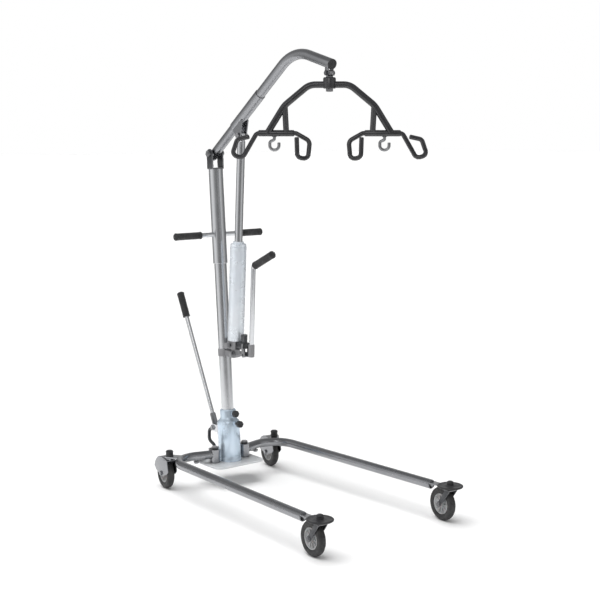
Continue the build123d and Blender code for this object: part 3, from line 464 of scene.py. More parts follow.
# ---------------------------------------------------------------- driving dimensions, in mm
PIVOT_LINE_X = -317.3
WHEEL_R = 63.5
WHEEL_WIDTH = 28.0
CASTER_TRAIL = 40.0
STEMS = {"front": (957.0, 313.0), "rear": (-44.0, 266.0)}
YAWS = {"front": -5.0, "rear": -9.0}
RIM_R = 39.0
CHEEK_INNER = WHEEL_WIDTH / 2 + 3
CHEEK_THICK = 3.5
CROWN_Z = 123.5
CROWN_HALF = 17.0
CUP_TOP = {"front": 130.4, "rear": 135.4}
HOOD_IN, HOOD_OUT = WHEEL_R + 3.5, WHEEL_R + 6.5


def hull(points):
    """Corners of the convex outline round some (x, y) points."""
    ordered = sorted(set(points))

    def chain(candidates):
        kept = []
        for point in candidates:
            while len(kept) > 1 and (
                (kept[-1][0] - kept[-2][0]) * (point[1] - kept[-2][1])
                <= (kept[-1][1] - kept[-2][1]) * (point[0] - kept[-2][0])
            ):
                kept.pop()
            kept.append(point)
        return kept[:-1]

    return chain(ordered) + chain(ordered[::-1])


# ---------------------------------------------------------------- casters
def caster_matrix(end, side):
    """Frame of a caster: origin on the floor under its stem, x forwards, z up."""
    stem = STEMS[end]
    origin = lift(stem[0], side * stem[1], 0)
    return Matrix.Translation(origin) @ Matrix.Rotation(radians(YAWS[end]), 4, "Z")


def axle_matrix(end, side):
    """Frame of a wheel: origin at its centre, local z along the axle."""
    turn = Matrix.Rotation(-pi / 2, 4, "X")
    return caster_matrix(end, side) @ Matrix.Translation(Vector((-CASTER_TRAIL, 0, WHEEL_R)) * MM) @ turn


def make_tyre(end, side_name):
    """Moulded tyre with a crowned tread, two tread grooves and a bead on each wall."""
    half = WHEEL_WIDTH / 2
    wall = [(RIM_R + 0.2, 2 - half), (43.0, -half + 0.2), (44.5, -half + 0.9), (46.0, -half + 0.2),
            (54.5, -half + 0.4)]
    tread = []
    for angle in range(-60, 61, 6):
        across = (half - 1.4) * sin(radians(angle)) / sin(radians(60))
        rise = 5.6 * (cos(radians(angle)) - 0.5) * 2
        groove = 0.9 if 17 < abs(angle) < 25 else 0.0
        tread.append((WHEEL_R - 5.8 + rise - groove, across))
    profile = wall + tread + [(r, -z) for r, z in wall[::-1]] + [wall[0]]
    bm = bmesh.new()
    add_turned(bm, axle_matrix(end, SIDES[side_name]), profile, 96)
    node = f"caster_tyre_{end}_{side_name}"
    finish_mesh(bm, f"tyre_{end}_{side_name}", "tyre", f"wheel_{end}_{side_name}", 28, node)


def make_hub(end, side_name):
    """Two-faced nylon hub with a dished web, radial ribs and a raised bearing boss."""
    half = WHEEL_WIDTH / 2
    matrix = axle_matrix(end, SIDES[side_name])
    face = [(5.1, half + 1.4), (11.5, half + 1.4), (13.0, half + 0.4), (14.0, half - 5.0), (17.0, half - 8.0),
            (30.0, half - 8.5), (33.0, half - 7.0), (34.4, half - 3.4), (35.6, half - 3.0),
            (RIM_R, half - 3.1)]
    profile = rounded_profile(face + [(r, -z) for r, z in face[::-1]], 0.8, 2)
    bm = bmesh.new()
    add_turned(bm, matrix, profile + [profile[0]], 72)
    ribs = 10
    for index in range(ribs):
        turned = matrix @ Matrix.Rotation(2 * pi * index / ribs, 4, "Z")
        for low, high in ((half - 9.5, half - 4.2), (-half + 4.2, -half + 9.5)):
            add_slab(bm, turned, [(13, -1.4), (34.2, -1.0), (34.2, 1.0), (13, 1.4)], low, high, 0.5, 2)
    finish_mesh(bm, f"hub_{end}_{side_name}", "pale_plastic", f"wheel_{end}_{side_name}", 30,
                f"caster_hub_{end}_{side_name}")


def add_nut(bm, matrix, radius, thick):
    """Hexagon nut or bolt head with chamfered rims, standing on the local xy plane."""
    add_slab(bm, matrix, hexagon(radius), 0, thick, thick * 0.16, 2)


def cheek_outline(end):
    """Side view of a fork cheek: (forwards, up) points from the floor under the stem."""
    axle = (-CASTER_TRAIL, WHEEL_R)
    points = arc(axle, 10, 180, 360, 12)
    back = -CROWN_HALF if end == "rear" else -5
    low, high = CROWN_Z - 1.5, CROWN_Z + 3.5
    points += [(back, low), (CROWN_HALF, low), (CROWN_HALF, high), (back, high)]
    if end == "rear":
        points += arc(axle, HOOD_OUT, 15, 165, 40)
        points += [(axle[0] - 52, axle[1] + 4), (axle[0] + 52, axle[1] + 4)]
    return hull([(round(x, 4), round(y, 4)) for x, y in points])


def make_fork(end, side_name):
    """Pressed fork: two cheeks, a crown with its bearing cup, the stem and the axle bolt."""
    base = caster_matrix(end, SIDES[side_name])
    upright = base @ Matrix.Rotation(pi / 2, 4, "X")
    bm = bmesh.new()
    outline = cheek_outline(end)
    for low in (CHEEK_INNER, -CHEEK_INNER - CHEEK_THICK):
        add_slab(bm, upright, outline, low, low + CHEEK_THICK, 1.2, 3)
    width = CHEEK_INNER + CHEEK_THICK
    crown = [(-CROWN_HALF, -width), (CROWN_HALF, -width), (CROWN_HALF, width), (-CROWN_HALF, width)]
    add_slab(bm, base, crown, CROWN_Z, CROWN_Z + 4, 1.4, 3)
    cup_top = CUP_TOP[end]
    add_turned(bm, base, [(0, CROWN_Z), (14.8, CROWN_Z), (14.8, cup_top - 2), (13.6, cup_top - 0.4),
                          (6.0, cup_top - 0.4), (6.0, cup_top + 14), (0, cup_top + 14)], 40)
    if end == "rear":
        axle = (-CASTER_TRAIL, WHEEL_R)
        band = arc(axle, HOOD_OUT, 46, 159, 36) + arc(axle, HOOD_IN, 159, 46, 36)
        add_slab(bm, upright, band, -width + 0.6, width - 0.6)
    axle_at = upright @ Matrix.Translation(Vector((-CASTER_TRAIL, WHEEL_R, 0)) * MM)
    add_turned(bm, axle_at, [(0, -width - 3), (5.0, -width - 3), (5.0, width + 3), (0, width + 3)], 24)
    for sign in (1, -1):
        face = axle_at @ Matrix.Translation(Vector((0, 0, sign * width)) * MM)
        flipped = face if sign > 0 else face @ Matrix.Rotation(pi, 4, "X")
        add_turned(bm, flipped, [(0, 0), (10.5, 0), (10.5, 0.9), (10.0, 1.3), (0, 1.3)], 32)
        add_nut(bm, flipped @ Matrix.Translation(Vector((0, 0, 1.3)) * MM), 8.8, 4.6)
    # the rear forks take the chrome whose darker grey is painted dark reflection
    slot, look = ("dark_metal", None) if end == "front" else ("chrome", "chrome_with_painted_dark_reflection")
    finish_mesh(bm, f"fork_{end}_{side_name}", slot, f"fork_{end}_{side_name}", 32,
                f"caster_fork_{end}_{side_name}", look)


# ---------------------------------------------------------------- legs
LEG_R = 17.5
LEG_Z = 126.0
LEG_PIVOT_Y = 75.0
LEG_CORNER = (-58.0, 272.0)
LEG_BEND_R = 100.0
LEG_TUBE_END_X = 864.0
LINK_LEG_PIN = (-24.0, 150.0)
BUSH_FOOT, BUSH_TOP = 92.6, 148.2
TONGUE_LOW, TONGUE_HIGH = 131.1, 135.9
REAR_PLATE_LOW, REAR_PLATE_HIGH = 136.1, 142.9
BUMPER_FOOT = 136.0


def make_leg(side_name):
    """Bent leg tube with its pivot bush, rear caster bracket, tip plug and front tongue."""
    side = SIDES[side_name]
    front, rear = STEMS["front"], STEMS["rear"]
    heading = atan2(front[1] - LEG_CORNER[1], front[0] - LEG_CORNER[0])
    tip_y = LEG_CORNER[1] + (LEG_TUBE_END_X - LEG_CORNER[0]) * tan(heading)
    bm = bmesh.new()
    route = rounded_path(
        [lift(0, side * LEG_PIVOT_Y, LEG_Z),
         lift(LEG_CORNER[0], side * LEG_CORNER[1], LEG_Z), lift(LEG_TUBE_END_X, side * tip_y, LEG_Z)],
        [LEG_BEND_R], 28,
    )
    add_sweep(bm, route, LEG_R, 48, end_round=1.2)
    # pivot bush with chamfered rims and a weld bead against the tube
    bush = Matrix.Translation(lift(0, side * LEG_PIVOT_Y, 0))
    add_turned(bm, bush, [(8.2, BUSH_FOOT), (19.6, BUSH_FOOT), (21, BUSH_FOOT + 1.4), (21, BUSH_TOP - 1.2),
                          (19.6, BUSH_TOP), (8.2, BUSH_TOP)], 48)
    outward = route[1] - route[0]
    add_weld(bm, route[0] + outward.normalized() * 21.5 * MM, outward, LEG_R + 1.0, 2.4)
    # flat tongue with a round nose, and the domed plug that carries it
    tongue = (Matrix.Translation(lift(front[0], side * front[1], 0))
              @ Matrix.Rotation(side * heading, 4, "Z"))
    nose = arc((0, 0), 15, -90, 90, 20) + [(-102, 15), (-104, 13), (-104, -13), (-102, -15)]
    add_slab(bm, tongue, nose, TONGUE_LOW, TONGUE_HIGH, 1.0, 3)
    add_weld(bm, lift(LEG_TUBE_END_X, side * tip_y, LEG_Z), route[-1] - route[-2], LEG_R - 2.0, 2.0)
    # rear caster bracket
    inward = Vector((74 - rear[0], side * (177 - rear[1]), 0)).normalized()
    bracket = (Matrix.Translation(lift(rear[0], side * rear[1], 0))
               @ Matrix.Rotation(atan2(inward.y, inward.x), 4, "Z"))
    plate = arc((0, 0), 20, 90, 270, 24) + [(50, -20), (50, 20)]
    add_slab(bm, bracket, plate, REAR_PLATE_LOW, REAR_PLATE_HIGH, 1.2, 3)
    # stud for the spreader link
    stud = Matrix.Translation(lift(LINK_LEG_PIN[0], side * LINK_LEG_PIN[1], 0))
    add_turned(bm, stud, [(0, 95), (8, 95), (9, 96), (9, 98.6), (5, 98.6), (5, 111), (0, 111)], 32)
    # the leg takes the chrome whose darker grey is painted dark reflection
    finish_mesh(bm, f"leg_{side_name}", "chrome", f"leg_{side_name}", 32, look="chrome_with_painted_dark_reflection")


def add_weld(bm, centre, along, radius, size):
    """Lumpy ring of weld round a tube."""
    matrix = frame_of(centre, along, UP if abs(along.normalized().z) < 0.9 else ACROSS)
    profile = [(radius + size * 0.55 * cos(a) - size * 0.3, size * sin(a))
               for a in (2 * pi * step / 10 for step in range(11))]

    def ripple(angle, r, height):
        return r + 0.22 * sin(angle * 26) * (r > radius)

    add_turned(bm, matrix, profile, 104, ripple)


def make_front_bumper(side_name):
    """Round black bumper disc with a rolled rim and a raised ring."""
    stem = STEMS["front"]
    matrix = Matrix.Translation(lift(stem[0], SIDES[side_name] * stem[1], 0))
    foot = BUMPER_FOOT
    profile = [(6.1, foot), (45.5, foot), (47.9, foot + 1.6), (47.9, foot + 5.6), (45.5, foot + 7.3),
               (41.0, foot + 7.3), (39.5, foot + 6.5), (22.0, foot + 6.5), (20.5, foot + 7.4),
               (6.1, foot + 7.4), (6.1, foot)]
    bm = bmesh.new()
    add_turned(bm, matrix, rounded_profile(profile, 0.8, 3), 80)
    finish_mesh(bm, f"front_bumper_{side_name}", "black_plastic", f"leg_{side_name}", 30)


def make_stem_caps(side_name):
    """Dome nut on the front stem and a tall cap on the rear one."""
    bm = bmesh.new()
    for end, foot, height, radius in (("front", 143.5, 16.0, 13.0), ("rear", 143.0, 23.0, 15.5)):
        stem = STEMS[end]
        matrix = Matrix.Translation(lift(stem[0], SIDES[side_name] * stem[1], 0))
        top = foot + height
        dome = [(radius * cos(a) ** 0.6 if a < pi / 2 else 0.0, top - 7 + 7 * sin(a))
                for a in (pi / 2 * step / 10 for step in range(11))]
        profile = [(6.1, foot), (radius - 0.5, foot), (radius, foot + 0.6), (radius, foot + 3),
                   (radius - 1, foot + 4), (radius - 1, top - 8)] + dome
        add_turned(bm, matrix, profile, 48)
    finish_mesh(bm, f"stem_caps_{side_name}", "black_plastic", f"leg_{side_name}", 30)


# ---------------------------------------------------------------- mast, handlebar, knobs
MAST_LEAN = 4.1
MAST_UP = Vector((-sin(radians(MAST_LEAN)), 0, cos(radians(MAST_LEAN))))
MAST_FOOT = Vector((10.0 + PIVOT_LINE_X, 0, 0)) * MM
MAST_R = 25.0
SLEEVE_R = 29.0
SLEEVE_FOOT = 905.0
SLEEVE_TOP = 1288.0
LOWER_TUBE_TOP = 940.0
PLATE_TOP = 92.0
HANDLEBAR_AT = 1023.0
KNOBS_AT = {"upper": 288.0, "lower": 248.0}
BOOM_PIVOT_AT = 1350.0
BAR_HALF = 212.0


def mast_matrix():
    """Frame of the mast: origin at its foot on the floor, z up along it."""
    return frame_of(MAST_FOOT, MAST_UP)


def knob_matrix(name):
    """Frame of a clamping knob: origin on the mast's centre line, z forwards and square to it."""
    forward = Vector((cos(radians(MAST_LEAN)), 0, sin(radians(MAST_LEAN))))
    return frame_of(MAST_FOOT + MAST_UP * KNOBS_AT[name] * MM, forward)


def make_mast_tubes():
    """Lower tube, and the sleeve tube that slides over its top."""
    bm = bmesh.new()
    foot, bore = PLATE_TOP + 2.2, 22.6
    wall = [(bore, foot), (MAST_R, foot), (MAST_R, LOWER_TUBE_TOP), (bore, LOWER_TUBE_TOP)]
    add_turned(bm, mast_matrix(), wall, 72)
    finish_mesh(bm, "mast_lower_tube", "chrome", "base", 30)
    bm = bmesh.new()
    profile = [(MAST_R + 0.1, SLEEVE_FOOT), (SLEEVE_R - 0.9, SLEEVE_FOOT), (SLEEVE_R, SLEEVE_FOOT + 1.2),
               (SLEEVE_R, SLEEVE_TOP - 1.0), (SLEEVE_R - 0.8, SLEEVE_TOP), (MAST_R + 0.1, SLEEVE_TOP)]
    add_turned(bm, mast_matrix(), profile, 72)
    finish_mesh(bm, "mast_upper_tube", "chrome", "base", 30)


def make_mast_socket():
    """Socket tube with a welded foot, a necked collar and two drilled bosses for the knobs."""
    foot = PLATE_TOP - 2.5
    profile = [(41.8, foot), (46, foot), (46, 108), (45.3, 109.2), (45.3, 111), (46, 112.2), (46, 246),
               (45.2, 252), (42.5, 257.5), (37, 262.5), (33.8, 267.5), (33, 272), (33, 298), (32.2, 301),
               (30.6, 303.4), (25.2, 304), (25.2, 262), (41.8, 250), (41.8, foot)]
    bm = bmesh.new()
    add_turned(bm, mast_matrix(), profile, 96)
    weld_x = MAST_FOOT.x / MM - PIVOT_LINE_X - tan(radians(MAST_LEAN)) * PLATE_TOP
    add_weld(bm, lift(weld_x, 0, PLATE_TOP), UP, 46.2, 2.6)
    for knob, start, end in (("upper", 31.0, 39.0), ("lower", 43.0, 56.0)):
        boss = [(5.2, start), (9, start), (9, end - 1), (8.2, end), (5.2, end), (5.2, start)]
        add_turned(bm, knob_matrix(knob), boss, 36)
    # the socket's light-blue tint is painted reflection
    finish_mesh(bm, "mast_socket", "silver_paint", "base", 32, look="socket_with_painted_blue_reflection")


def make_mast_clevis():
    """Cap on the mast top with two rounded ears for the boom's pivot bolt."""
    ear_in, ear_thick, ear_half = 22.5, 6.0, 19.0
    reach = BOOM_PIVOT_AT - SLEEVE_TOP
    bm = bmesh.new()
    cap = [(0, SLEEVE_TOP - 30), (24.6, SLEEVE_TOP - 30), (24.6, SLEEVE_TOP), (29, SLEEVE_TOP),
           (29, SLEEVE_TOP + 3.4), (27.6, SLEEVE_TOP + 5), (0, SLEEVE_TOP + 5)]
    add_turned(bm, mast_matrix(), cap, 64)
    centre = MAST_FOOT + MAST_UP * BOOM_PIVOT_AT * MM
    forward = ACROSS.cross(MAST_UP)
    sideways = Matrix((forward, MAST_UP, -ACROSS)).transposed().to_4x4()
    outline = arc((0, 0), ear_half, 0, 180, 28) + [(-ear_half, -reach), (ear_half, -reach)]
    for middle in (ear_in, -ear_in - ear_thick):
        ear = Matrix.Translation(centre + ACROSS * (middle + ear_thick) * MM) @ sideways
        add_slab(bm, ear, outline, 0, ear_thick, 1.4, 3)
    finish_mesh(bm, "mast_clevis", "dark_metal", "base", 32)


def make_handlebar():
    """Push bar through the mast, with a welded collar each side."""
    middle = MAST_FOOT + MAST_UP * HANDLEBAR_AT * MM
    matrix = frame_of(middle, ACROSS, UP)
    bm = bmesh.new()
    end = BAR_HALF
    bar = [(0, -end), (8.7, -end), (9.5, -end + 0.8), (9.5, end - 0.8), (8.7, end), (0, end)]
    add_turned(bm, matrix, bar, 40)
    for side in (1, -1):
        add_weld(bm, middle + ACROSS * side * (SLEEVE_R - 1.6) * MM, ACROSS, 9.6, 1.8)
    finish_mesh(bm, "handlebar", "chrome", "base", 30)


def ribbed_grip(length, radius, bore):
    """Profile of a moulded grip from its open end (height 0): flange, ribs and a domed end."""
    rib_pitch = 7.0
    profile = [(bore, 0.0), (radius - 0.8, 0.0), (radius, 0.8), (radius, 4.6), (radius - 0.8, 5.6)]
    ribs = int((length - 22) / rib_pitch)
    for index in range(ribs):
        start = 8.0 + index * rib_pitch
        profile += [(radius - 1.6, start), (radius - 1.6, start + rib_pitch * 0.25),
                    (radius - 0.7, start + rib_pitch * 0.42), (radius - 0.7, start + rib_pitch * 0.8)]
    last = length - 8.0
    profile += [(radius - 0.8, last - 3), (radius, last - 2), (radius, last)]
    profile += [(radius * cos(a), last + 8.0 * sin(a)) for a in (pi / 2 * step / 7 for step in range(1, 7))]
    return profile + [(0.0, length)]


def make_handlebar_grips():
    """A ribbed grip on each end of the push bar."""
    inner, outer = 90.0, 217.0
    for side_name, side in SIDES.items():
        name = f"handlebar_grip_{side_name}"
        place = MAST_FOOT + MAST_UP * HANDLEBAR_AT * MM + ACROSS * side * inner * MM
        bm = bmesh.new()
        add_turned(bm, frame_of(place, ACROSS * side, UP), ribbed_grip(outer - inner, 15.0, 9.5), 48)
        finish_mesh(bm, name, "black_rubber", "base", 30)


def make_lock_knobs():
    """Fluted clamping knobs on their screws."""
    pitch = 1.5
    for name, start in (("upper", 44.0), ("lower", 70.0)):
        matrix = knob_matrix(name)
        knob = [(8, start - 5), (8, start), (12.8, start + 0.4), (14, start + 2), (14, start + 16),
                (12.6, start + 18.6), (9.0, start + 19.8), (6.0, start + 19.2), (0, start + 19.0)]

        def flute(angle, radius, height):
            dip = max(0.0, cos(6 * angle)) ** 3
            return radius - 2.4 * dip * (radius > 10)

        bm = bmesh.new()
        add_turned(bm, matrix, rounded_profile(knob, 1.2, 3), 96, flute)
        screw = [(0, MAST_R + 0.4)]
        for index in range(int((start - 6 - MAST_R) / pitch)):
            root = MAST_R + 0.5 + index * pitch
            screw += [(4.5, root), (5.0, root + pitch / 2)]
        add_turned(bm, matrix, screw + [(5.0, start - 4), (0, start - 4)], 24)
        finish_mesh(bm, f"lock_knob_{name}", "black_plastic", f"knob_{name}", 38)


# ---------------------------------------------------------------- pump
PUMP_PIN = (45.0, 540.0)
RAM_LUG = (96.0, 1421.0)
PUMP_R = 33.0
PUMP_FOOT, PUMP_TOP = 58.0, 440.0
PUMP_UP = Vector((RAM_LUG[0] - PUMP_PIN[0], 0, RAM_LUG[1] - PUMP_PIN[1])).normalized()
LEVER_SOCKET = (154.0, 566.0)
HANDLE_CORNER = (170.0, 908.0)
HANDLE_TIP = (299.0, 968.0)


def pump_matrix():
    """Frame of the pump: origin at its lower pin, z up along its cylinder."""
    return frame_of(lift(PUMP_PIN[0], 0, PUMP_PIN[1]), PUMP_UP)


def make_pump_cylinder():
    """Cylinder with a turned collar and a groove next to it at each end."""
    foot, top = PUMP_FOOT, PUMP_TOP
    r, bore = PUMP_R, 24
    profile = [(bore, foot), (r - 0.6, foot), (r, foot + 0.6), (r, foot + 12), (r - 0.9, foot + 13.2),
               (r - 0.9, foot + 15), (r - 0.3, foot + 16.2), (r - 0.3, top - 16.2), (r - 0.9, top - 15),
               (r - 0.9, top - 13.2), (r, top - 12), (r, top - 0.6), (r - 0.6, top), (bore, top)]
    bm = bmesh.new()
    add_turned(bm, pump_matrix(), profile, 80)
    finish_mesh(bm, "pump_cylinder", "silver_paint", "pump", 25)


def make_pump_gland():
    """Screwed gland with spanner flats, a wiper groove and a chamfered nose."""
    foot = PUMP_TOP
    profile = [(16.2, foot - 18), (23.6, foot - 18), (23.6, foot), (31.0, foot), (32.0, foot + 1),
               (32.0, foot + 10.6), (30.8, foot + 12), (22.0, foot + 12), (22.0, foot + 16),
               (21.0, foot + 16.6), (21.0, foot + 18), (22.0, foot + 18.6), (21.2, foot + 21.4),
               (19.6, foot + 22), (18.0, foot + 20.4), (16.2, foot + 20.0)]

    def slots(angle, radius, height):
        return radius - 2.2 * (abs(sin(2 * angle)) > 0.985) * (radius > 31.5)

    bm = bmesh.new()
    add_turned(bm, pump_matrix(), profile, 120, slots)
    finish_mesh(bm, "pump_gland", "silver_paint", "pump", 25)


def make_piston_rod():
    """Ground rod with a chamfered shoulder and a forged eye at its top."""
    length = (Vector(RAM_LUG) - Vector(PUMP_PIN)).length
    bm = bmesh.new()
    neck_at = length - 20
    rod = [(0, 297), (23.6, 297), (23.6, 315), (16, 316), (16, neck_at - 6), (14.4, neck_at), (0, neck_at)]
    add_turned(bm, pump_matrix(), rod, 48)
    eye = frame_of(lift(RAM_LUG[0], 0, RAM_LUG[1]), ACROSS, UP)
    ring = [(7.1, -8.9), (13, -8.9), (13.9, -8), (13.9, 8), (13, 8.9), (7.1, 8.9), (7.1, -8.9)]
    add_turned(bm, eye, ring, 40)
    neck = Matrix.Translation(pump_matrix().translation) @ Matrix(
        (ACROSS.cross(PUMP_UP), PUMP_UP, -ACROSS)).transposed().to_4x4()
    add_slab(bm, neck, [(-12, length - 28), (12, length - 28), (11.5, length - 8.5), (-11.5, length - 8.5)],
             -8.6, 8.6, 1.4, 3)
    finish_mesh(bm, "pump_piston_rod", "chrome", "ram", 32)


def make_pump_handle():
    """Bent handle in the lever's socket, and its grip."""
    corner, tip = lift(HANDLE_CORNER[0], 0, HANDLE_CORNER[1]), lift(HANDLE_TIP[0], 0, HANDLE_TIP[1])
    socket = lift(LEVER_SOCKET[0], 0, LEVER_SOCKET[1])
    foot = socket - (corner - socket).normalized() * 5.5 * MM
    end = tip - (tip - corner).normalized() * 7 * MM
    bm = bmesh.new()
    add_sweep(bm, rounded_path([foot, corner, end], [12], 12), 9.4, 36, end_round=0.8)
    finish_mesh(bm, "pump_handle", "chrome", "lever", 30)
    bm = bmesh.new()
    reach = (tip - corner).length / MM
    start = corner + (tip - corner).normalized() * 12 * MM
    add_turned(bm, frame_of(start, tip - corner), ribbed_grip(reach - 12, 15.5, 9.45), 48)
    finish_mesh(bm, "pump_handle_grip", "black_rubber", "lever", 30)


# ---------------------------------------------------------------- shifter
SHIFTER_PIVOT = (-96.0, 211.0)
SHIFTER_TIP = (-356.0, 753.0)


def make_shifter_handle():
    """Tall rod that opens the legs, and its grip."""
    foot, tip = lift(SHIFTER_PIVOT[0], 0, SHIFTER_PIVOT[1]), lift(SHIFTER_TIP[0], 0, SHIFTER_TIP[1])
    length = (tip - foot).length / MM
    matrix = frame_of(foot, tip - foot)
    bm = bmesh.new()
    end = length - 16
    add_turned(bm, matrix, [(0, 24.6), (8.0, 24.6), (8.45, 25.2), (8.45, end - 1), (7.6, end), (0, end)], 36)
    finish_mesh(bm, "shifter_rod", "chrome", "shifter", 30)
    bm = bmesh.new()
    grip = 112.0
    place = foot + (tip - foot).normalized() * (length - grip) * MM
    add_turned(bm, frame_of(place, tip - foot), ribbed_grip(grip, 16.0, 8.5), 48)
    finish_mesh(bm, "shifter_grip", "black_rubber", "shifter", 30)


# ---------------------------------------------------------------- boom
BOOM_PIVOT = pivot("boom_lift") / MM
BOOM_R = 19.0
BOOM_RISE = 37.0
BOOM_DROOP = 16.0
BOOM_BEND_R = 180.0
BOOM_END = (642.0, 1674.0)
BOOM_TAIL = 24.0
HANGER = (630.0, 1643.0)


def boom_points():
    """Tail, corner and end of the boom's centre line, in metres."""
    x, z = BOOM_PIVOT.x - PIVOT_LINE_X, BOOM_PIVOT.z
    rise, droop = tan(radians(BOOM_RISE)), tan(radians(BOOM_DROOP))
    corner_x = (BOOM_END[1] + droop * BOOM_END[0] - z + rise * x) / (rise + droop)
    tail = lift(x - BOOM_TAIL * cos(radians(BOOM_RISE)), 0, z - BOOM_TAIL * sin(radians(BOOM_RISE)))
    return tail, lift(corner_x, 0, z + rise * (corner_x - x)), lift(BOOM_END[0], 0, BOOM_END[1])


def make_boom_tube():
    """Bent tube with its pivot boss and the two ears of the hanger bolt."""
    tail, corner, end = boom_points()
    bm = bmesh.new()
    add_sweep(bm, rounded_path([tail, corner, end], [BOOM_BEND_R], 32), BOOM_R, 56, end_round=1.0)
    boss = frame_of(BOOM_PIVOT * MM, ACROSS, UP)
    add_turned(bm, boss, [(8.1, -21.8), (12.2, -21.8), (13, -21), (13, 21), (12.2, 21.8), (8.1, 21.8)], 40)
    ear = [(-11, 20)] + arc((0, 0), 11, 180, 380, 20) + [(5, 20)]
    upright = Matrix.Translation(lift(HANGER[0], 0, HANGER[1])) @ Matrix.Rotation(pi / 2, 4, "X")
    for low in (9.0, -13.0):
        add_slab(bm, upright, ear, low, low + 4, 0.8, 2)
    # the boom takes the chrome whose darker grey is painted dark reflection
    finish_mesh(bm, "boom_tube", "chrome", "boom", 30, look="chrome_with_painted_dark_reflection")


def make_boom_end_cap():
    """Push-in plastic cap with a domed face."""
    corner, end = boom_points()[1:]
    profile = [(0, -13.5), (16.3, -13.5), (16.3, 0), (18.6, 0), (BOOM_R, 0.6), (BOOM_R, 4.4), (17.4, 6.6),
               (13.5, 7.7), (0, 8.0)]
    bm = bmesh.new()
    add_turned(bm, frame_of(end, end - corner), rounded_profile(profile, 1.2, 3), 48)
    finish_mesh(bm, "boom_end_cap", "black_plastic", "boom", 30)


# ---------------------------------------------------------------- cradle
CRADLE_YAW = 42.0
CRADLE_BAR_R = 12.0
SLING_BAR_R = 11.5
SLING_ROD_R = 8.3
SLING_BAR_Z = 1430.0
SLING_GAP = 28.0
J_HOOK_AT = 198.0
HOOK_R = 5.5
BOSS = (1588.0, 1628.0)


def cradle_point(along, z, depth=0.0):
    """A point of the cradle: along its bars, height above the floor, and depth across its plane."""
    yaw = radians(CRADLE_YAW)
    return lift(HANGER[0] + along * sin(yaw) + depth * cos(yaw), along * cos(yaw) - depth * sin(yaw), z)


def add_cradle_bar(bm, points, bends, radius, end_round=0.0, segments=32):
    """Adds a round bar through cradle points, bent at its inner corners."""
    route = [cradle_point(*point) for point in points]
    path = rounded_path(route, bends) if len(route) > 2 else route
    add_sweep(bm, path, radius, segments, end_round)


def make_cradle_frame():
    """Bent arch with a strut near each end and the turned boss of the swivel."""
    bm = bmesh.new()
    half = [(223, SLING_BAR_Z), (162, 1528), (72, 1602)]
    add_cradle_bar(bm, [(-w, z) for w, z in half] + half[::-1], [90, 60, 60, 90], CRADLE_BAR_R, 3.0, 40)
    for side in (1, -1):
        add_cradle_bar(bm, [(side * 160, 1526), (side * 155, SLING_BAR_Z)], [], 10.5)
    boss = Matrix.Translation(cradle_point(0, 0))
    low, high = BOSS
    profile = [(8.1, low), (20.5, low), (23, low + 2.5), (23, high - 5), (21.6, high - 1.4), (19.5, high),
               (8.1, high), (8.1, low)]
    add_turned(bm, boss, profile, 56)
    finish_mesh(bm, "cradle_frame", "black_coating", "cradle", 38)


def make_sling_bar(side_name):
    """End piece of the cradle: a short bar, an open loop at each end and the boss of the J hook."""
    side = SIDES[side_name]
    z = SLING_BAR_Z
    bm = bmesh.new()
    add_cradle_bar(bm, [(side * 126, z), (side * 256, z)], [], SLING_BAR_R, 4.0)
    add_cradle_bar(bm, [
        (side * 226, z), (side * 262, z), (side * 312, z - 88, SLING_GAP * 0.35),
        (side * 350, z - 78, SLING_GAP * 0.6), (side * 330, z - 22, SLING_GAP * 0.85),
        (side * 286, z - 12, SLING_GAP),
    ], [18, 19, 17, 16], SLING_ROD_R, 4.0)
    add_cradle_bar(bm, [
        (side * 156, z), (side * 120, z), (side * 70, z - 28, SLING_GAP * 0.2),
        (side * 76, z - 92, SLING_GAP * 0.5), (side * 114, z - 86, SLING_GAP * 0.8),
        (side * 116, z - 14, SLING_GAP),
    ], [20, 22, 17, 17], SLING_ROD_R, 4.0)
    boss = Matrix.Translation(cradle_point(side * J_HOOK_AT, 0))
    bore = HOOK_R + 0.2
    add_turned(bm, boss, [(bore, z - 13), (8.2, z - 13), (9, z - 12), (9, z), (bore, z)], 32)
    finish_mesh(bm, f"sling_bar_{side_name}", "black_coating", "cradle", 40)


def make_sling_hook(side_name):
    """J hook that hangs in the end piece's boss."""
    axis = SIDES[side_name] * J_HOOK_AT
    low = SLING_BAR_Z - 60
    reach = 16.5
    bm = bmesh.new()
    add_cradle_bar(bm, [
        (axis, SLING_BAR_Z + 6.5), (axis, low + 37), (axis - reach, low + 29), (axis - reach, low),
        (axis + reach, low), (axis + reach, low + 27),
    ], [7, 8, 16, 16], HOOK_R, 2.4, 24)
    finish_mesh(bm, f"sling_hook_{side_name}", "zinc", f"sling_hook_{side_name}", 30)


def build_pieces():
    """Makes every piece that is drawn in more detail than its CAD node."""
    for side_name in SIDES:
        for end in STEMS:
            make_tyre(end, side_name)
            make_hub(end, side_name)
            make_fork(end, side_name)
        make_leg(side_name)
        make_front_bumper(side_name)
        make_stem_caps(side_name)
        make_sling_bar(side_name)
        make_sling_hook(side_name)
    make_mast_socket()
    make_mast_tubes()
    make_mast_clevis()
    make_handlebar()
    make_handlebar_grips()
    make_lock_knobs()
    make_pump_cylinder()
    make_pump_gland()
    make_piston_rod()
    make_pump_handle()
    make_shifter_handle()
    make_boom_tube()
    make_boom_end_cap()
    make_cradle_frame()


# ---------------------------------------------------------------- stage
CAMERA_PLACE = (4.024 - 0.3173, -2.877, 1.443)
CAMERA_AZIMUTH = 51.07
CAMERA_PITCH = 7.91
CAMERA_LENS = 73.6
SENSOR_WIDTH = 36.0
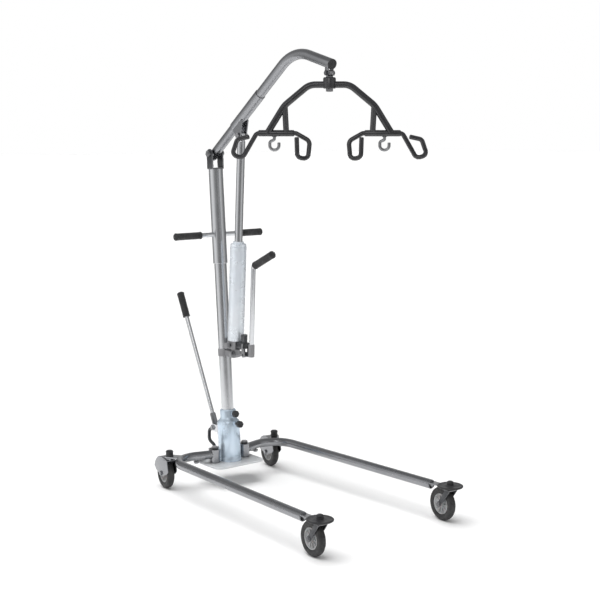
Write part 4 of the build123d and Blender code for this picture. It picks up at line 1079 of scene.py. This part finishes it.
# grey of the studio walls by angle from straight behind the camera
STUDIO_RING = [
    (-180, 0.65), (-150, 0.30), (-115, 0.35), (-80, 1.0), (-50, 0.75), (-25, 0.32), (0, 0.20), (25, 0.26),
    (48, 0.65), (75, 0.60), (105, 0.24), (150, 0.22), (180, 0.65),
]
STUDIO_TOP = 0.32
# the floor fades out of reflections between these distances from the lift
FLOOR_NEAR, FLOOR_FAR = 2.2, 3.6
FLOOR_HALF = 60.0


def make_floor():
    """Pale floor under the lift."""
    half = FLOOR_HALF
    mesh = bpy.data.meshes.new("floor")
    corners = [(-half, -half, 0), (half, -half, 0), (half, half, 0), (-half, half, 0)]
    mesh.from_pydata(corners, [], [(0, 1, 2, 3)])
    floor = add_object("floor", mesh)
    shader = Shader("floor", (0.9, 0.9, 0.9), roughness=0.9)
    hide_far_floor(shader)
    mesh.materials.append(shader.material)


def hide_far_floor(shader):
    """Metal reflects the white floor near the lift, and past it the darker studio walls."""
    distance = shader.add("ShaderNodeVectorMath", operation="LENGTH")
    shader.link(shader.place, distance.inputs[0])
    far = shader.levels(distance.outputs["Value"], 0.0, 1.0, FLOOR_NEAR, FLOOR_FAR)
    glossy_and_far = shader.add("ShaderNodeMath", operation="MULTIPLY")
    path = shader.add("ShaderNodeLightPath")
    shader.link(path.outputs["Is Glossy Ray"], glossy_and_far.inputs[0])
    shader.link(far, glossy_and_far.inputs[1])
    blend = shader.add("ShaderNodeMixShader")
    clear = shader.add("ShaderNodeBsdfTransparent")
    shader.link(glossy_and_far.outputs["Value"], blend.inputs["Fac"])
    shader.link(shader.bsdf.outputs["BSDF"], blend.inputs[1])
    shader.link(clear.outputs["BSDF"], blend.inputs[2])
    shader.link(blend.outputs["Shader"], shader.tree.nodes["Material Output"].inputs["Surface"])


def make_light(name, place, target, size, energy):
    """Rectangular softbox turned towards a target."""
    data = bpy.data.lights.new(name, "AREA")
    data.shape = "RECTANGLE"
    data.size, data.size_y = size
    data.energy = energy
    light = add_object(name, data)
    light.location = place
    light.rotation_euler = (Vector(target) - Vector(place)).to_track_quat("-Z", "Y").to_euler()


def make_sun(name, tilt, softness, strength):
    """Broad soft light from above; tilt is its lean about X and Y, in degrees."""
    data = bpy.data.lights.new(name, "SUN")
    data.angle = radians(softness)
    data.energy = strength
    sun = add_object(name, data)
    sun.rotation_euler = (radians(tilt[0]), radians(tilt[1]), 0)
    sun.visible_glossy = False


def make_world():
    """White studio for the camera; metal reflects softboxes at the sides and dark cards between them."""
    world = bpy.data.worlds.new("studio")
    bpy.context.scene.world = world
    world.use_nodes = True
    nodes = NodeTree(world.node_tree)
    direction = nodes.add("ShaderNodeTexCoord").outputs["Generated"]
    turned = nodes.add("ShaderNodeMapping")
    turned.inputs["Rotation"].default_value = (0, 0, radians(90 - CAMERA_AZIMUTH))
    nodes.link(direction, turned.inputs["Vector"])
    around = nodes.add("ShaderNodeTexGradient", gradient_type="RADIAL")
    nodes.link(turned.outputs["Vector"], around.inputs["Vector"])
    walls = [(angle / 360 + 0.5, grey(value)) for angle, value in STUDIO_RING]
    ring = nodes.ramp(around.outputs["Fac"], walls)
    split = nodes.add("ShaderNodeSeparateXYZ")
    nodes.link(direction, split.inputs["Vector"])
    height = nodes.ramp(split.outputs["Z"], [(0.0, grey(0.0)), (0.45, grey(0.0)), (0.75, grey(1.0))])
    studio = nodes.mix(height, ring, grey(STUDIO_TOP))
    path = nodes.add("ShaderNodeLightPath")
    seen = nodes.mix(path.outputs["Is Camera Ray"], studio, grey(1.0))
    nodes.link(seen, nodes.tree.nodes["Background"].inputs["Color"])


def grey(value):
    """A neutral colour."""
    return (value, value, value)


def make_camera():
    """Camera a little above the lift's middle, to the front right of it."""
    data = bpy.data.cameras.new("camera")
    data.lens = CAMERA_LENS
    data.sensor_width = SENSOR_WIDTH
    camera = add_object("camera", data)
    camera.location = CAMERA_PLACE
    camera.rotation_euler = (radians(90 - CAMERA_PITCH), 0, radians(CAMERA_AZIMUTH))
    bpy.context.scene.camera = camera


bpy.context.scene.view_settings.view_transform = "Standard"
dress_cad_nodes()
build_pieces()
make_floor()
make_world()
make_sun("sky", (12, -8), 55, 2.9)
make_light("key", (3.0, -3.5, 3.6), (0, 0, 0.9), (2.0, 2.0), 30)
make_camera()
